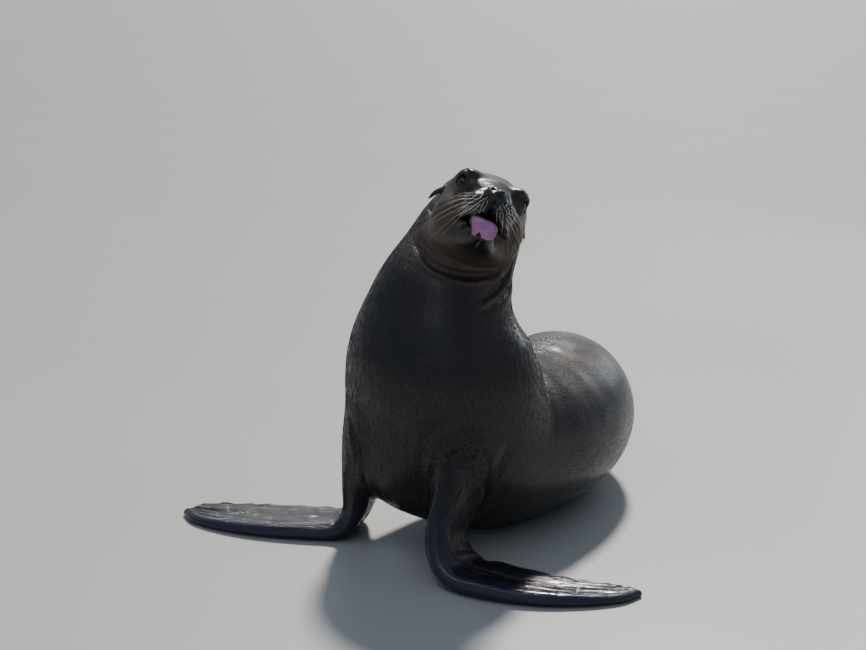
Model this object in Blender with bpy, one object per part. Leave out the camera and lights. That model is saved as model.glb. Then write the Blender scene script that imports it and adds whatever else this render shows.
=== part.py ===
"""A young male sea lion, life size, sitting up on its fore flippers with its tongue out.

Metres, +Z up, floor at Z = 0. The head looks along -Y, the animal's right side is at -X, and the hind end
curls away towards +Y.

The flesh is one smooth field: sections swept along the spine, the limbs and the muzzle, and ellipsoids for
the cheeks, lips and brows, blended where flesh flows together. OpenVDB, which comes with Blender, turns the
field into a mesh. The mesh is thinned, then parted by thin sheets into named pieces. Eyes, ears, tongue and
claws are made on their own.
"""

import math

import bmesh
import bpy
import numpy as np
import openvdb
from mathutils import Matrix, Vector

GAP = 0.0004  # between neighbouring pieces
SINK = 0.0015  # how far the flesh is pressed into the floor before the floor cuts it flat
BLOCK = 8  # cells to a side of the blocks in which a field is sampled
BODY_CELL, HEAD_CELL, TONGUE_CELL = 0.006, 0.0034, 0.0016
BODY_TRIANGLES, HEAD_TRIANGLES, TONGUE_TRIANGLES = 3200, 1800, 200

# The working origin is on the floor between the wrists. At the end all is moved so that the origin is at
# the middle of the box, on the floor.
BOX_MIDDLE = (-0.040, 0.419)

# Stations of the spine, from the tail's tip to the skull: a point of the centre line, the half width, and
# the depths to the back and to the belly.
SPINE = [
    ("tail_tip", (0.115, 0.925, 0.030), 0.012, 0.009, 0.009),
    ("tail_root", (0.145, 0.850, 0.052), 0.034, 0.028, 0.030),
    ("pelvis", (0.180, 0.775, 0.082), 0.078, 0.062, 0.070),
    ("hips", (0.222, 0.680, 0.118), 0.118, 0.102, 0.115),
    ("loin", (0.272, 0.560, 0.152), 0.154, 0.152, 0.156),
    ("waist", (0.278, 0.410, 0.165), 0.172, 0.172, 0.175),
    ("ribs", (0.205, 0.260, 0.172), 0.178, 0.172, 0.180),
    ("breast", (0.090, 0.145, 0.205), 0.188, 0.180, 0.200),
    ("shoulders", (0.026, 0.104, 0.315), 0.201, 0.186, 0.188),
    ("neck_root", (0.013, 0.108, 0.405), 0.188, 0.174, 0.176),
    ("mid_neck", (0.021, 0.122, 0.490), 0.149, 0.140, 0.142),
    ("upper_neck", (0.049, 0.148, 0.565), 0.120, 0.118, 0.118),
    ("nape", (0.080, 0.166, 0.625), 0.103, 0.098, 0.102),
    ("skull_base", (0.098, 0.158, 0.664), 0.084, 0.074, 0.080),
]
# The breast bone's forward bulge, low between the fore limbs: centre and radii.
KEEL = ((-0.020, 0.080, 0.190), (0.145, 0.120, 0.125))
# Which way the back faces at each station.
SPINE_BACK = [
    (0.0, 0.2, 1.0),
    (0.0, 0.2, 1.0),
    (0.0, 0.1, 1.0),
    (0.0, 0.0, 1.0),
    (0.0, 0.0, 1.0),
    (0.0, 0.0, 1.0),
    (0.1, 0.1, 1.0),
    (0.4, 0.4, 0.8),
    (0.5, 0.8, 0.2),
    (0.5, 0.85, 0.0),
    (0.4, 0.9, 0.0),
    (0.2, 1.0, 0.1),
    (0.0, 1.0, 0.3),
    (-0.1, 0.9, 0.5),
]

# Each fore limb from the shoulder to the tip: a point of the centre line, the way from the leading to the
# trailing edge, and half the chord. The animal's right flipper lies spread wider than the left.
FORE_LEFT = [
    ((0.090, 0.030, 0.300), (0.50, 0.70, -0.20), 0.088),
    ((0.072, -0.020, 0.215), (0.50, 0.75, -0.10), 0.080),
    ((0.044, -0.052, 0.130), (0.45, 0.85, 0.00), 0.068),
    ((0.027, -0.082, 0.066), (0.40, 0.90, 0.00), 0.064),
    ((0.055, -0.127, 0.0190), (0.35, 0.93, 0.00), 0.074),
    ((0.125, -0.167, 0.0135), (0.30, 0.95, 0.00), 0.080),
    ((0.205, -0.198, 0.0110), (0.20, 0.98, 0.00), 0.071),
    ((0.280, -0.213, 0.0090), (0.08, 1.00, 0.00), 0.056),
    ((0.345, -0.217, 0.0080), (0.00, 1.00, 0.00), 0.037),
    ((0.384, -0.212, 0.0068), (0.00, 1.00, 0.00), 0.014),
]
FORE_RIGHT = [
    ((-0.100, 0.115, 0.300), (0.30, 0.90, -0.20), 0.088),
    ((-0.128, 0.098, 0.215), (0.25, 0.95, -0.10), 0.080),
    ((-0.147, 0.098, 0.130), (0.20, 0.98, 0.00), 0.068),
    ((-0.152, 0.105, 0.064), (0.22, 0.97, 0.00), 0.064),
    ((-0.179, 0.117, 0.0195), (0.28, 0.95, 0.00), 0.076),
    ((-0.262, 0.135, 0.0135), (0.32, 0.94, 0.00), 0.085),
    ((-0.340, 0.152, 0.0110), (0.35, 0.93, 0.00), 0.085),
    ((-0.412, 0.172, 0.0090), (0.38, 0.92, 0.00), 0.077),
    ((-0.474, 0.194, 0.0080), (0.40, 0.91, 0.00), 0.060),
    ((-0.512, 0.216, 0.0068), (0.42, 0.90, 0.00), 0.032),
]
# Half the thickness of the blade and of its round leading edge, at the same stations.
FORE_THICKNESS = [0.060, 0.050, 0.037, 0.029, 0.021, 0.0165, 0.0135, 0.0115, 0.0100, 0.0085]
LEADING_EDGE = [0.030, 0.030, 0.026, 0.023, 0.0205, 0.0175, 0.0150, 0.0125, 0.0100, 0.0080]
FINGERS = 5

# A hind flipper: distance along it, half its width and half its thickness, from the knee to the toes' tips.
HIND_SECTIONS = [
    (-0.090, 0.062, 0.055),
    (-0.030, 0.046, 0.042),
    (0.020, 0.040, 0.030),
    (0.075, 0.048, 0.019),
    (0.140, 0.062, 0.0125),
    (0.205, 0.078, 0.0095),
    (0.250, 0.086, 0.0075),
    (0.285, 0.084, 0.0060),
]
HIND_ANKLES = {"right": ((0.072, 0.775), 176), "left": ((0.250, 0.822), 62)}  # place, and heading in degrees
TOES = 5
CLAW_LENGTH, CLAW_RADIUS, CLAW_SET_BACK = 0.020, 0.0042, 0.090

# The head has a frame of its own: origin at the nose's tip, +X to the animal's left, +Y to the back, +Z up.
NOSE = (0.123, -0.050, 0.745)
HEAD_YAW, HEAD_PITCH, HEAD_ROLL = 12.0, 26.8, 26.0  # degrees: to the left, up, left side down
# Stations of the skull from nose to nape: distance back, height, half width, depth up and depth down.
SKULL = [
    (0.017, -0.008, 0.021, 0.016, 0.019),
    (0.028, -0.011, 0.034, 0.028, 0.030),
    (0.050, -0.012, 0.043, 0.038, 0.034),
    (0.074, -0.008, 0.051, 0.047, 0.038),
    (0.098, -0.001, 0.065, 0.054, 0.046),
    (0.128, 0.006, 0.081, 0.060, 0.062),
    (0.165, 0.008, 0.086, 0.065, 0.080),
    (0.205, 0.002, 0.086, 0.063, 0.088),
    (0.245, -0.014, 0.083, 0.062, 0.090),
]
# Stations of the lower jaw from chin to throat: distance back, height, half width, half depth.
JAW = [
    (0.022, -0.088, 0.019, 0.014),
    (0.040, -0.087, 0.031, 0.021),
    (0.075, -0.086, 0.044, 0.028),
    (0.110, -0.078, 0.058, 0.034),
    (0.150, -0.066, 0.074, 0.043),
    (0.185, -0.057, 0.081, 0.050),
]
# Soft forms of one side of the face: centre, radii and how wide they blend.
FACE = {
    "whisker_pad": ((0.026, 0.034, -0.030), (0.027, 0.032, 0.027), 0.010),
    "upper_lip": ((0.034, 0.066, -0.042), (0.018, 0.038, 0.014), 0.012),
    "brow": ((0.050, 0.108, 0.039), (0.025, 0.044, 0.017), 0.018),
    "cheek": ((0.056, 0.130, -0.034), (0.036, 0.048, 0.040), 0.024),
}
NOSE_PAD = ((0.0, 0.012, -0.004), (0.022, 0.012, 0.013))
THROAT = ((-0.004, 0.142, -0.047), (0.086, 0.078, 0.060))
# The hinge of the jaw in the head's frame, and the slopes of the two lips up to it, in degrees.
JAW_HINGE = (0, 0.145, -0.0464)
LOWER_LIP_SLOPE, UPPER_LIP_SLOPE = 5.4, 3.6
JAW_SET_BACK = 0.008  # how far in front of the hinge the jaw's piece ends, clear of the head below too
EYE, EYE_RADIUS = (0.0530, 0.094, 0.020), 0.0175
GAZE, EYE_OPENING = (0.82, -0.55, 0.14), 0.0105
# The tongue: distance to the left and back, height, half width, half thickness.
TONGUE = [
    (0.000, 0.080, -0.0600, 0.020, 0.0040),
    (-0.002, 0.048, -0.0620, 0.024, 0.0058),
    (-0.0045, 0.020, -0.0630, 0.0240, 0.0064),
    (-0.0035, 0.003, -0.0690, 0.0245, 0.0060),
    (0.000, -0.004, -0.0820, 0.0250, 0.0052),
    (0.002, -0.002, -0.0970, 0.0210, 0.0045),
]
TONGUE_NOTCH = ((-0.0065, -0.002, -0.1080), (0.0050, 0.020, 0.0150))
EAR_ROOT, EAR_TIP, EAR_RADIUS = (0.086, 0.170, 0.022), (0.104, 0.198, 0.001), 0.0085

# Where the trunk is parted: a place on each cut and the way to the piece named, which is cut off first.
CUTS = {
    "neck": ((0.006, 0.1, 0.43), (0.05, 0.0, 1.0)),
    "chest": ((0.19, 0.25, 0.18), (-0.55, -0.83, 0.1)),
    "abdomen": ((0.25, 0.60, 0.13), (0.3, -0.95, 0)),
    "hindquarters": ((0.150, 0.835, 0.06), (0.45, -0.9, 0)),
}
# The first row of a limb's table of the piece that is the flipper, and the room round it.
FORE_FLIPPER_CUT, HIND_FLIPPER_CUT = (9, 0.022), (12, 0.020)

COLOURS = {
    "coat": ((0.035, 0.026, 0.022), 0.42),
    "flipper_skin": ((0.020, 0.018, 0.020), 0.38),
    "eye": ((0.012, 0.009, 0.008), 0.05),
    "tongue": ((0.55, 0.26, 0.30), 0.35),
    "claw": ((0.060, 0.050, 0.045), 0.45),
}


def unit(rows):
    return rows / np.linalg.norm(rows, axis=-1, keepdims=True)


def smooth_rows(rows, per_span):
    """Rows of numbers with more rows between them, on a Catmull-Rom curve through all of them."""
    rows = np.asarray(rows, float)
    padded = np.vstack([2 * rows[0] - rows[1], rows, 2 * rows[-1] - rows[-2]])
    t = np.linspace(0, 1, per_span, endpoint=False)[:, None]
    spans = []
    for p0, p1, p2, p3 in zip(padded, padded[1:], padded[2:], padded[3:]):
        bend = 2 * p0 - 5 * p1 + 4 * p2 - p3
        twist = -p0 + 3 * p1 - 3 * p2 + p3
        spans.append(p1 + 0.5 * t * ((p2 - p0) + t * (bend + t * twist)))
    return np.vstack(spans + [rows[-1:]])


def joined(a, b, reach):
    """Two fields as one shape, with a fillet about reach wide where they meet."""
    near = np.maximum(reach - np.abs(a - b), 0) / reach
    return np.minimum(a, b) - near * near * reach / 4


def carved(a, b, reach):
    """Field a with shape b taken out of it, and an edge about reach wide."""
    return -joined(-a, b, reach)


def ellipsoid(points, centre, radii):
    """About the distance from points to an ellipsoid, negative inside."""
    offset = (points - np.asarray(centre)) / np.asarray(radii)
    scaled = np.linalg.norm(offset, axis=1)
    slope = np.linalg.norm(offset / np.asarray(radii), axis=1)
    return scaled * (scaled - 1) / np.maximum(slope, 1e-9)


class Sweep:
    """Superellipse sections swept along a smooth line.

    Each station holds a point of the line, the half width, the depths up and down, and the way up."""

    MARGIN = 0.12  # points this far outside the sweep's box aren't measured exactly

    def __init__(self, points, widths, ups, downs, way_up, squareness=2.0, per_span=8):
        rows = smooth_rows(np.column_stack([points, widths, ups, downs, way_up]), per_span)
        line, self.sizes = rows[:, :3], rows[:, 3:6]
        along = unit(np.gradient(line, axis=0))
        up = rows[:, 6:] - (rows[:, 6:] * along).sum(1, keepdims=True) * along
        up = unit(up)
        self.table = np.hstack([line, along, up, np.cross(along, up), self.sizes])
        self.spacing = np.linalg.norm(np.gradient(line, axis=0), axis=1)
        self.squareness = squareness
        largest = self.sizes.max()
        self.low, self.high = line.min(0) - largest, line.max(0) + largest

    def __call__(self, points):
        outside = np.maximum(self.low - points, points - self.high).max(1)
        found = np.maximum(outside, 0) + self.sizes.min()
        near = outside < self.MARGIN
        if near.any():
            found[near] = self.measured(points[near])
        return found

    def measured(self, points):
        line = self.table[:, :3]
        last = len(line) - 1
        place = ((line * line).sum(1) - 2 * points @ line.T).argmin(1).astype(float)
        for _ in range(6):
            here, spacing = self.station(place)
            slide = ((points - here[:, :3]) * here[:, 3:6]).sum(1) / spacing
            place = np.clip(place + 0.6 * slide, 0, last)
        here, _ = self.station(place)
        offset = points - here[:, :3]
        past_end = np.where((place == 0) | (place == last), (offset * here[:, 3:6]).sum(1), 0)
        high = (offset * here[:, 6:9]).sum(1)
        wide = (offset * here[:, 9:12]).sum(1)
        half_width, up, down = here[:, 12:].T
        depth = np.where(high > 0, up, down)
        power = self.squareness
        ratio = (np.abs(wide / half_width) ** power + np.abs(high / depth) ** power) ** (1 / power)
        ratio = np.sqrt(ratio**2 + (past_end / np.minimum(half_width, depth)) ** 2)
        length = np.sqrt(wide**2 + high**2 + past_end**2)
        ratio = np.maximum(ratio, 1e-6)
        return np.where(length > 1e-7, length * (1 - 1 / ratio), -depth)

    def station(self, place):
        """The table's row and the spacing at a place between rows."""
        i = np.minimum(place.astype(int), len(self.table) - 2)
        share = place - i
        rows = self.table[i] * (1 - share)[:, None] + self.table[i + 1] * share[:, None]
        return rows, self.spacing[i] * (1 - share) + self.spacing[i + 1] * share


def head_matrix():
    turn = (
        Matrix.Rotation(math.radians(HEAD_YAW), 4, "Z")
        @ Matrix.Rotation(math.radians(-HEAD_PITCH), 4, "X")
        @ Matrix.Rotation(math.radians(HEAD_ROLL), 4, "Y")
    )
    return Matrix.Translation(NOSE) @ turn


HEAD = head_matrix()
HEAD_TURN = np.array(HEAD.to_3x3())


def in_head(points):
    """Points in the head's own frame."""
    return (points - np.array(NOSE)) @ HEAD_TURN


def from_head(point):
    return HEAD @ Vector(point)


def sweep_in_head(rows, squareness=2.0):
    """A sweep along the head's middle, from rows of (left, back, height, half width, up, down)."""
    left, back, height, half_width, up, down = np.array(rows).T
    points = np.column_stack([left, back, height])
    way_up = np.cross([1.0, 0.0, 0.0], np.gradient(points, axis=0))
    return Sweep(points, half_width, up, down, way_up, squareness)


def fore_limb(stations):
    """The blade and the thick leading edge of a fore limb, as two sweeps."""
    centres = np.array([s[0] for s in stations])
    chords = unit(np.array([s[1] for s in stations]))
    half_chord = np.array([s[2] for s in stations])
    way_up = np.cross(np.gradient(centres, axis=0), chords)
    blade = Sweep(centres, half_chord, FORE_THICKNESS, FORE_THICKNESS, way_up, 2.2)
    radii = np.array(LEADING_EDGE)
    edge = centres - chords * (half_chord - radii * 0.9)[:, None]
    edge[:, 2] = np.maximum(edge[:, 2], radii * 0.85)
    return blade, Sweep(edge, radii, radii, radii, way_up)


def fingers(points, stations):
    """Shallow valleys between the finger bones, on top of the outer blade, as a depth in metres."""
    line = smooth_rows([s[0] for s in stations], 8)
    chord = smooth_rows([s[1] for s in stations], 8)
    half = smooth_rows([[s[2]] for s in stations], 8)[:, 0]
    nearest = ((line * line).sum(1) - 2 * points @ line.T).argmin(1)
    across = ((points - line[nearest]) * unit(chord)[nearest]).sum(1) / half[nearest]
    outer = np.clip((nearest / len(line) - 0.45) / 0.2, 0, 1)
    return 0.0018 * outer * (0.5 - 0.5 * np.cos((across + 1) * math.pi * FINGERS))


def hind_limb(ankle, heading):
    """A hind flipper's blade, from the knee to the toes."""
    distance, half_width, half_thick = np.array(HIND_SECTIONS).T
    way = np.array([math.cos(math.radians(heading)), math.sin(math.radians(heading)), 0])
    points = np.array([*ankle, 0]) + distance[:, None] * way
    points[:, 2] = half_thick * 0.8
    way_up = np.tile([0.0, 0.0, 1.0], (len(points), 1))
    return Sweep(points, half_width, half_thick, half_thick, way_up, 2.2)


def toes(points, ankle, heading):
    """Notches between the toes' tips and valleys between the toes, as a depth in metres."""
    angle = math.radians(heading)
    way, side = np.array([math.cos(angle), math.sin(angle)]), np.array([-math.sin(angle), math.cos(angle)])
    offset = points[:, :2] - np.array(ankle)
    along, across = offset @ way, offset @ side
    width = 0.040 + 0.17 * np.maximum(along, 0)
    ripple = 0.5 + 0.5 * np.cos(across / width * math.pi * TOES)
    valley = 0.002 * np.clip((along - 0.08) / 0.1, 0, 1)
    notch = 0.022 * np.clip((along - 0.235) / 0.05, 0, 1)
    return (1 - ripple) * valley + (1 - ripple) ** 2 * notch


SPINE_SWEEP = Sweep(
    [s[1] for s in SPINE], [s[2] for s in SPINE], [s[3] for s in SPINE], [s[4] for s in SPINE], SPINE_BACK
)
FORE_SWEEPS = {"left": fore_limb(FORE_LEFT), "right": fore_limb(FORE_RIGHT)}
HIND_SWEEPS = {side: hind_limb(*place) for side, place in HIND_ANKLES.items()}
SKULL_SWEEP = sweep_in_head([(0, *row) for row in SKULL], 2.5)
JAW_SWEEP = sweep_in_head([(0, *row, row[-1]) for row in JAW], 2.2)
TONGUE_SWEEP = sweep_in_head([(*row, row[-1]) for row in TONGUE], 2.3)


def head_field(points):
    """The head's flesh, in its own frame."""
    mirrored = np.column_stack([np.abs(points[:, 0]), points[:, 1:]])
    flesh = joined(SKULL_SWEEP(points), ellipsoid(points, *NOSE_PAD), 0.008)
    for centre, radii, reach in FACE.values():
        flesh = joined(flesh, ellipsoid(mirrored, centre, radii), reach)
    jaw = joined(JAW_SWEEP(points), ellipsoid(points, *THROAT), 0.030)
    flesh = joined(flesh, jaw, 0.014)
    lids = ellipsoid(mirrored, EYE, (EYE_RADIUS + 0.0020, EYE_RADIUS + 0.0040, EYE_RADIUS + 0.0020))
    flesh = joined(flesh, lids, 0.012)
    opening = np.array(EYE) + np.array(GAZE) * EYE_RADIUS
    return carved(flesh, ellipsoid(mirrored, opening, (EYE_OPENING,) * 3), 0.003)


def body_field(points):
    """The trunk, neck, tail and limbs."""
    flesh = joined(SPINE_SWEEP(points), ellipsoid(points, *KEEL), 0.060)
    for side, stations in (("left", FORE_LEFT), ("right", FORE_RIGHT)):
        blade, edge = FORE_SWEEPS[side]
        limb = joined(blade(points), edge(points), 0.012)
        near = limb < 0.05
        limb[near] += fingers(points[near], stations)
        flesh = joined(flesh, limb, 0.035)
    for side, place in HIND_ANKLES.items():
        limb = HIND_SWEEPS[side](points)
        near = limb < 0.05
        limb[near] += toes(points[near], *place)
        flesh = joined(flesh, limb, 0.030)
    return flesh


def animal_field(points):
    """All the flesh, cut flat where it rests on the floor."""
    flesh = body_field(points)
    local = in_head(points)
    near = np.abs(local - np.array([0, 0.13, -0.02])).max(1) < 0.30
    reach = np.interp(local[near, 2], [-0.06, 0.02], [0.032, 0.045])
    flesh[near] = joined(flesh[near], head_field(local[near]), reach)
    return carved(flesh, points[:, 2] + SINK, 0.004)


def tongue_field(points):
    """The tongue, in the head's frame, with the notched tip of the species."""
    return carved(TONGUE_SWEEP(points), ellipsoid(points, *TONGUE_NOTCH), 0.006)


def mesh_of(name, field, low, high, cell):
    """The surface where the field is zero, as a mesh of quads. Only blocks near the surface are sampled."""
    low = np.asarray(low, float)
    blocks = np.ceil((np.asarray(high) - low) / (cell * BLOCK)).astype(int)
    corner = np.stack(np.meshgrid(*map(np.arange, blocks), indexing="ij"), -1).reshape(-1, 3) * BLOCK
    middles = field(low + (corner + BLOCK / 2) * cell)
    values = np.zeros(blocks * BLOCK, np.float32)
    inner = np.stack(np.meshgrid(*[np.arange(BLOCK)] * 3, indexing="ij"), -1).reshape(-1, 3)
    reach = cell * BLOCK * 1.6
    for (i, j, k), middle in zip(corner, middles):
        box = (slice(i, i + BLOCK), slice(j, j + BLOCK), slice(k, k + BLOCK))
        if abs(middle) > reach:
            values[box] = middle
        else:
            values[box] = field(low + (inner + (i, j, k)) * cell).reshape((BLOCK,) * 3)
    for axis in range(3):
        np.moveaxis(values, axis, 0)[[0, -1]] = cell
    grid = openvdb.FloatGrid(cell)
    grid.copyFromArray(values)
    points, quads = grid.convertToQuads()
    mesh = bpy.data.meshes.new(name)
    mesh.from_pydata((low + points * cell).tolist(), [], quads.tolist())
    return mesh


def grown(mesh, amount):
    """A copy of a closed mesh with every face moved outward by amount."""
    work = bmesh.new()
    work.from_mesh(mesh)
    work.normal_update()
    moved = [v.co + v.normal * v.calc_shell_factor() * amount for v in work.verts]
    for vertex, place in zip(work.verts, moved):
        vertex.co = place
    result = bpy.data.meshes.new(mesh.name + "_grown")
    work.to_mesh(result)
    work.free()
    return result


def with_modifier(mesh, kind, **settings):
    """A mesh as one modifier leaves it."""
    obj = bpy.data.objects.new("worked", mesh)
    bpy.context.collection.objects.link(obj)
    modifier = obj.modifiers.new(kind, kind)
    for key, value in settings.items():
        setattr(modifier, key, value)
    graph = bpy.context.evaluated_depsgraph_get()
    result = bpy.data.meshes.new_from_object(obj.evaluated_get(graph))
    bpy.data.objects.remove(obj)
    return result


def thinned(mesh, triangles):
    return with_modifier(mesh, "DECIMATE", ratio=triangles / (2 * len(mesh.polygons)))


def combined(mesh, other, operation):
    """A Boolean of two closed meshes."""
    tool = bpy.data.objects.new("tool", other)
    bpy.context.collection.objects.link(tool)
    result = with_modifier(mesh, "BOOLEAN", object=tool, operation=operation, solver="EXACT")
    bpy.data.objects.remove(tool)
    return result


def without(mesh, other):
    """The mesh with room cut in it for another piece."""
    return combined(mesh, grown(other, GAP), "DIFFERENCE")


def parted(mesh, region):
    """The piece of a mesh inside a region, and all the rest, with a thin gap between them."""
    return combined(mesh, region, "INTERSECT"), without(mesh, region)


def block(low, high, matrix=None):
    """A box between two corners, in a frame of its own if a matrix is given."""
    low, high = Vector(low), Vector(high)
    work = bmesh.new()
    bmesh.ops.create_cube(work, size=1)
    for vertex in work.verts:
        vertex.co = [low[i] + (vertex.co[i] + 0.5) * (high[i] - low[i]) for i in range(3)]
    if matrix:
        work.transform(matrix)
    mesh = bpy.data.meshes.new("block")
    work.to_mesh(mesh)
    work.free()
    return mesh


def facing(place, way):
    """A frame at a place with its Z along a way."""
    turn = Vector(way).to_track_quat("Z", "Y").to_matrix().to_4x4()
    return Matrix.Translation(place) @ turn


def half_space(place, way, reach=0.9):
    """All that lies beyond a plane, within reach."""
    return block((-reach, -reach, 0), (reach, reach, 2 * reach), facing(place, way))


def tube(rings):
    """A closed mesh through rings, each with the same number of points."""
    work = bmesh.new()
    loops = [[work.verts.new(point) for point in ring] for ring in rings]
    for near, far in zip(loops, loops[1:]):
        for i in range(len(near)):
            j = (i + 1) % len(near)
            work.faces.new((near[i], near[j], far[j], far[i]))
    work.faces.new(loops[0][::-1])
    work.faces.new(loops[-1])
    bmesh.ops.recalc_face_normals(work, faces=work.faces)
    mesh = bpy.data.meshes.new("tube")
    work.to_mesh(mesh)
    work.free()
    return mesh


def section(centre, across, up, half_width, half_depth, sides=16):
    """The points of an oval around a centre."""
    angles = [2 * math.pi * i / sides for i in range(sides)]
    centre, across, up = Vector(centre), Vector(across).normalized(), Vector(up).normalized()
    return [
        centre + across * half_width * math.cos(a) + up * half_depth * math.sin(a) for a in angles
    ]


def limb_region(sweep, first, spare):
    """A closed tube around a limb's sweep from a station to beyond its tip, with room to spare."""
    rings = []
    for row in sweep.table[first:]:
        rings.append(section(row[:3], row[9:12], row[6:9], row[12] + spare, row[13] + spare))
    rings.append([point + Vector(row[3:6]) * spare for point in rings[-1]])
    return tube(rings)


def ball(centre, radius, segments=16, rings=10):
    work = bmesh.new()
    bmesh.ops.create_uvsphere(work, u_segments=segments, v_segments=rings, radius=radius)
    work.transform(facing(centre, HEAD.to_3x3() @ Vector((0, -1, 0))))
    mesh = bpy.data.meshes.new("ball")
    work.to_mesh(mesh)
    work.free()
    return mesh


def whole_flesh():
    """The flesh in two parts: the head, finely meshed, and the rest."""
    coarse = mesh_of("body", animal_field, (-0.56, -0.30, -0.03), (0.50, 1.16, 0.79), BODY_CELL)
    middle = np.array(from_head((0, 0.12, -0.03)))
    fine = mesh_of("head", animal_field, middle - 0.20, middle + 0.20, HEAD_CELL)
    region = head_region()
    body = without(thinned(coarse, BODY_TRIANGLES), region)
    head = combined(thinned(fine, HEAD_TRIANGLES), region, "INTERSECT")
    floor = block((-1, -1, -0.2), (1, 2, 0))
    return combined(body, floor, "DIFFERENCE"), head


def head_region():
    """The head as far as the crease of the throat and the nape."""
    tilt = Matrix.Rotation(math.radians(-8), 4, "X")
    return block((-0.2, -0.1, -0.124), (0.2, 0.222, 0.2), HEAD @ tilt)


def below_mouth(slope, set_back=0):
    """Below one lip's line, as far back as the jaw's hinge or a little in front of it."""
    tilt = Matrix.Translation(JAW_HINGE) @ Matrix.Rotation(math.radians(slope), 4, "X")
    return block((-0.2, -0.3, -0.2), (0.2, -set_back, 0), HEAD @ tilt)


def make_tongue():
    """The tongue, out over the lower lip."""
    mesh = mesh_of("tongue", tongue_field, (-0.04, -0.03, -0.12), (0.04, 0.10, -0.05), TONGUE_CELL)
    mesh.transform(HEAD)
    return thinned(mesh, TONGUE_TRIANGLES)


def make_ear(side):
    """A short ear rolled to a cone, hanging back and down."""
    root, tip = Vector(EAR_ROOT), Vector(EAR_TIP)
    root.x, tip.x = root.x * side, tip.x * side
    along = (tip - root).normalized()
    across = along.cross(Vector((side, 0, 0.3))).normalized()
    rings = []
    for share, size in ((-0.25, 0.75), (0.0, 1.0), (0.35, 0.95), (0.7, 0.62), (0.95, 0.25)):
        centre = root.lerp(tip, share)
        rings.append(
            section(centre, across, along.cross(across), EAR_RADIUS * size, EAR_RADIUS * size * 0.6, 10)
        )
    mesh = tube(rings)
    mesh.transform(HEAD)
    return mesh


def make_claw(ankle, heading, toe):
    """A claw lying on top of a toe, well back from its tip."""
    angle = math.radians(heading)
    frame = Matrix.Translation((*ankle, 0)) @ Matrix.Rotation(angle, 4, "Z")
    along = HIND_SECTIONS[-1][0] - CLAW_SET_BACK
    thickness = np.interp(along, [s[0] for s in HIND_SECTIONS], [s[2] for s in HIND_SECTIONS])
    place = frame @ Vector((along, toe * (0.040 + 0.17 * along) / TOES * 2, 1.8 * thickness - SINK))
    rings = []
    for share, size in ((0, 0.8), (0.3, 1.0), (0.65, 0.75), (1, 0.25)):
        centre = place + frame.to_3x3() @ Vector((share * CLAW_LENGTH, 0, 0.0025 * math.sin(share * 2.6)))
        rings.append(
            section(centre, frame.to_3x3() @ Vector((0, 1, 0)), (0, 0, 1), CLAW_RADIUS * size, 0.003 * size, 8)
        )
    return tube(rings)


def add(name, mesh, slot):
    """A named piece of the model, in its material."""
    mesh.materials.clear()
    mesh.materials.append(bpy.data.materials[slot])
    obj = bpy.data.objects.new(name, mesh)
    bpy.context.collection.objects.link(obj)
    obj.data.transform(Matrix.Translation((-BOX_MIDDLE[0], -BOX_MIDDLE[1], 0)))


def make_materials():
    for name, (colour, roughness) in COLOURS.items():
        material = bpy.data.materials.new(name)
        material.use_nodes = True
        shader = material.node_tree.nodes["Principled BSDF"]
        shader.inputs["Base Color"].default_value = (*colour, 1)
        shader.inputs["Roughness"].default_value = roughness


def make_head(head):
    """The head, lower jaw, tongue, eyes and ears."""
    tongue = make_tongue()
    add("tongue", tongue.copy(), "tongue")
    for side, name in ((1, "left"), (-1, "right")):
        ear = make_ear(side)
        head = without(head, ear)
        add("ear_" + name, ear, "coat")
        eye = ball(from_head((side * EYE[0], EYE[1], EYE[2])), EYE_RADIUS)
        head = without(head, eye)
        add("eye_" + name, eye, "eye")
    head = without(head, tongue)
    jaw = combined(head, below_mouth(LOWER_LIP_SLOPE, JAW_SET_BACK), "INTERSECT")
    add("head", without(head, below_mouth(UPPER_LIP_SLOPE)), "coat")
    add("lower_jaw", jaw, "coat")


def make_body(body):
    """The neck, trunk, tail and flippers."""
    for name, (blade, _) in FORE_SWEEPS.items():
        limb, body = parted(body, limb_region(blade, *FORE_FLIPPER_CUT))
        add("fore_flipper_" + name, limb, "flipper_skin")
    for name, sweep in HIND_SWEEPS.items():
        limb, body = parted(body, limb_region(sweep, *HIND_FLIPPER_CUT))
        for number, toe in enumerate((-1, 0, 1), 1):
            claw = make_claw(*HIND_ANKLES[name], toe)
            limb = without(limb, claw)
            add(f"claw_{name}_{number}", claw, "claw")
        add("hind_flipper_" + name, limb, "flipper_skin")
    for name, (place, way) in CUTS.items():
        piece, body = parted(body, half_space(place, way))
        add(name, piece, "coat")
    add("tail", body, "coat")


def main():
    for obj in list(bpy.data.objects):
        bpy.data.objects.remove(obj)
    make_materials()
    body, head = whole_flesh()
    make_head(head)
    make_body(body)


main()
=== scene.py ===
"""A young male sea lion, life size and wet from the water, sitting up with its tongue out.

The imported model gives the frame. One skin stands for all its nodes of flesh: the solids' own field of
sweeps and ellipsoids, drawn in by the depth of the coat, with lids, nostrils, folds, finger bones and
wrinkles added. Short wet tufts lie over the skin from nose to tail. Eyes, ears, tongue and whiskers are
pieces of their own.
"""

import contextlib
import itertools
import math

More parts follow.
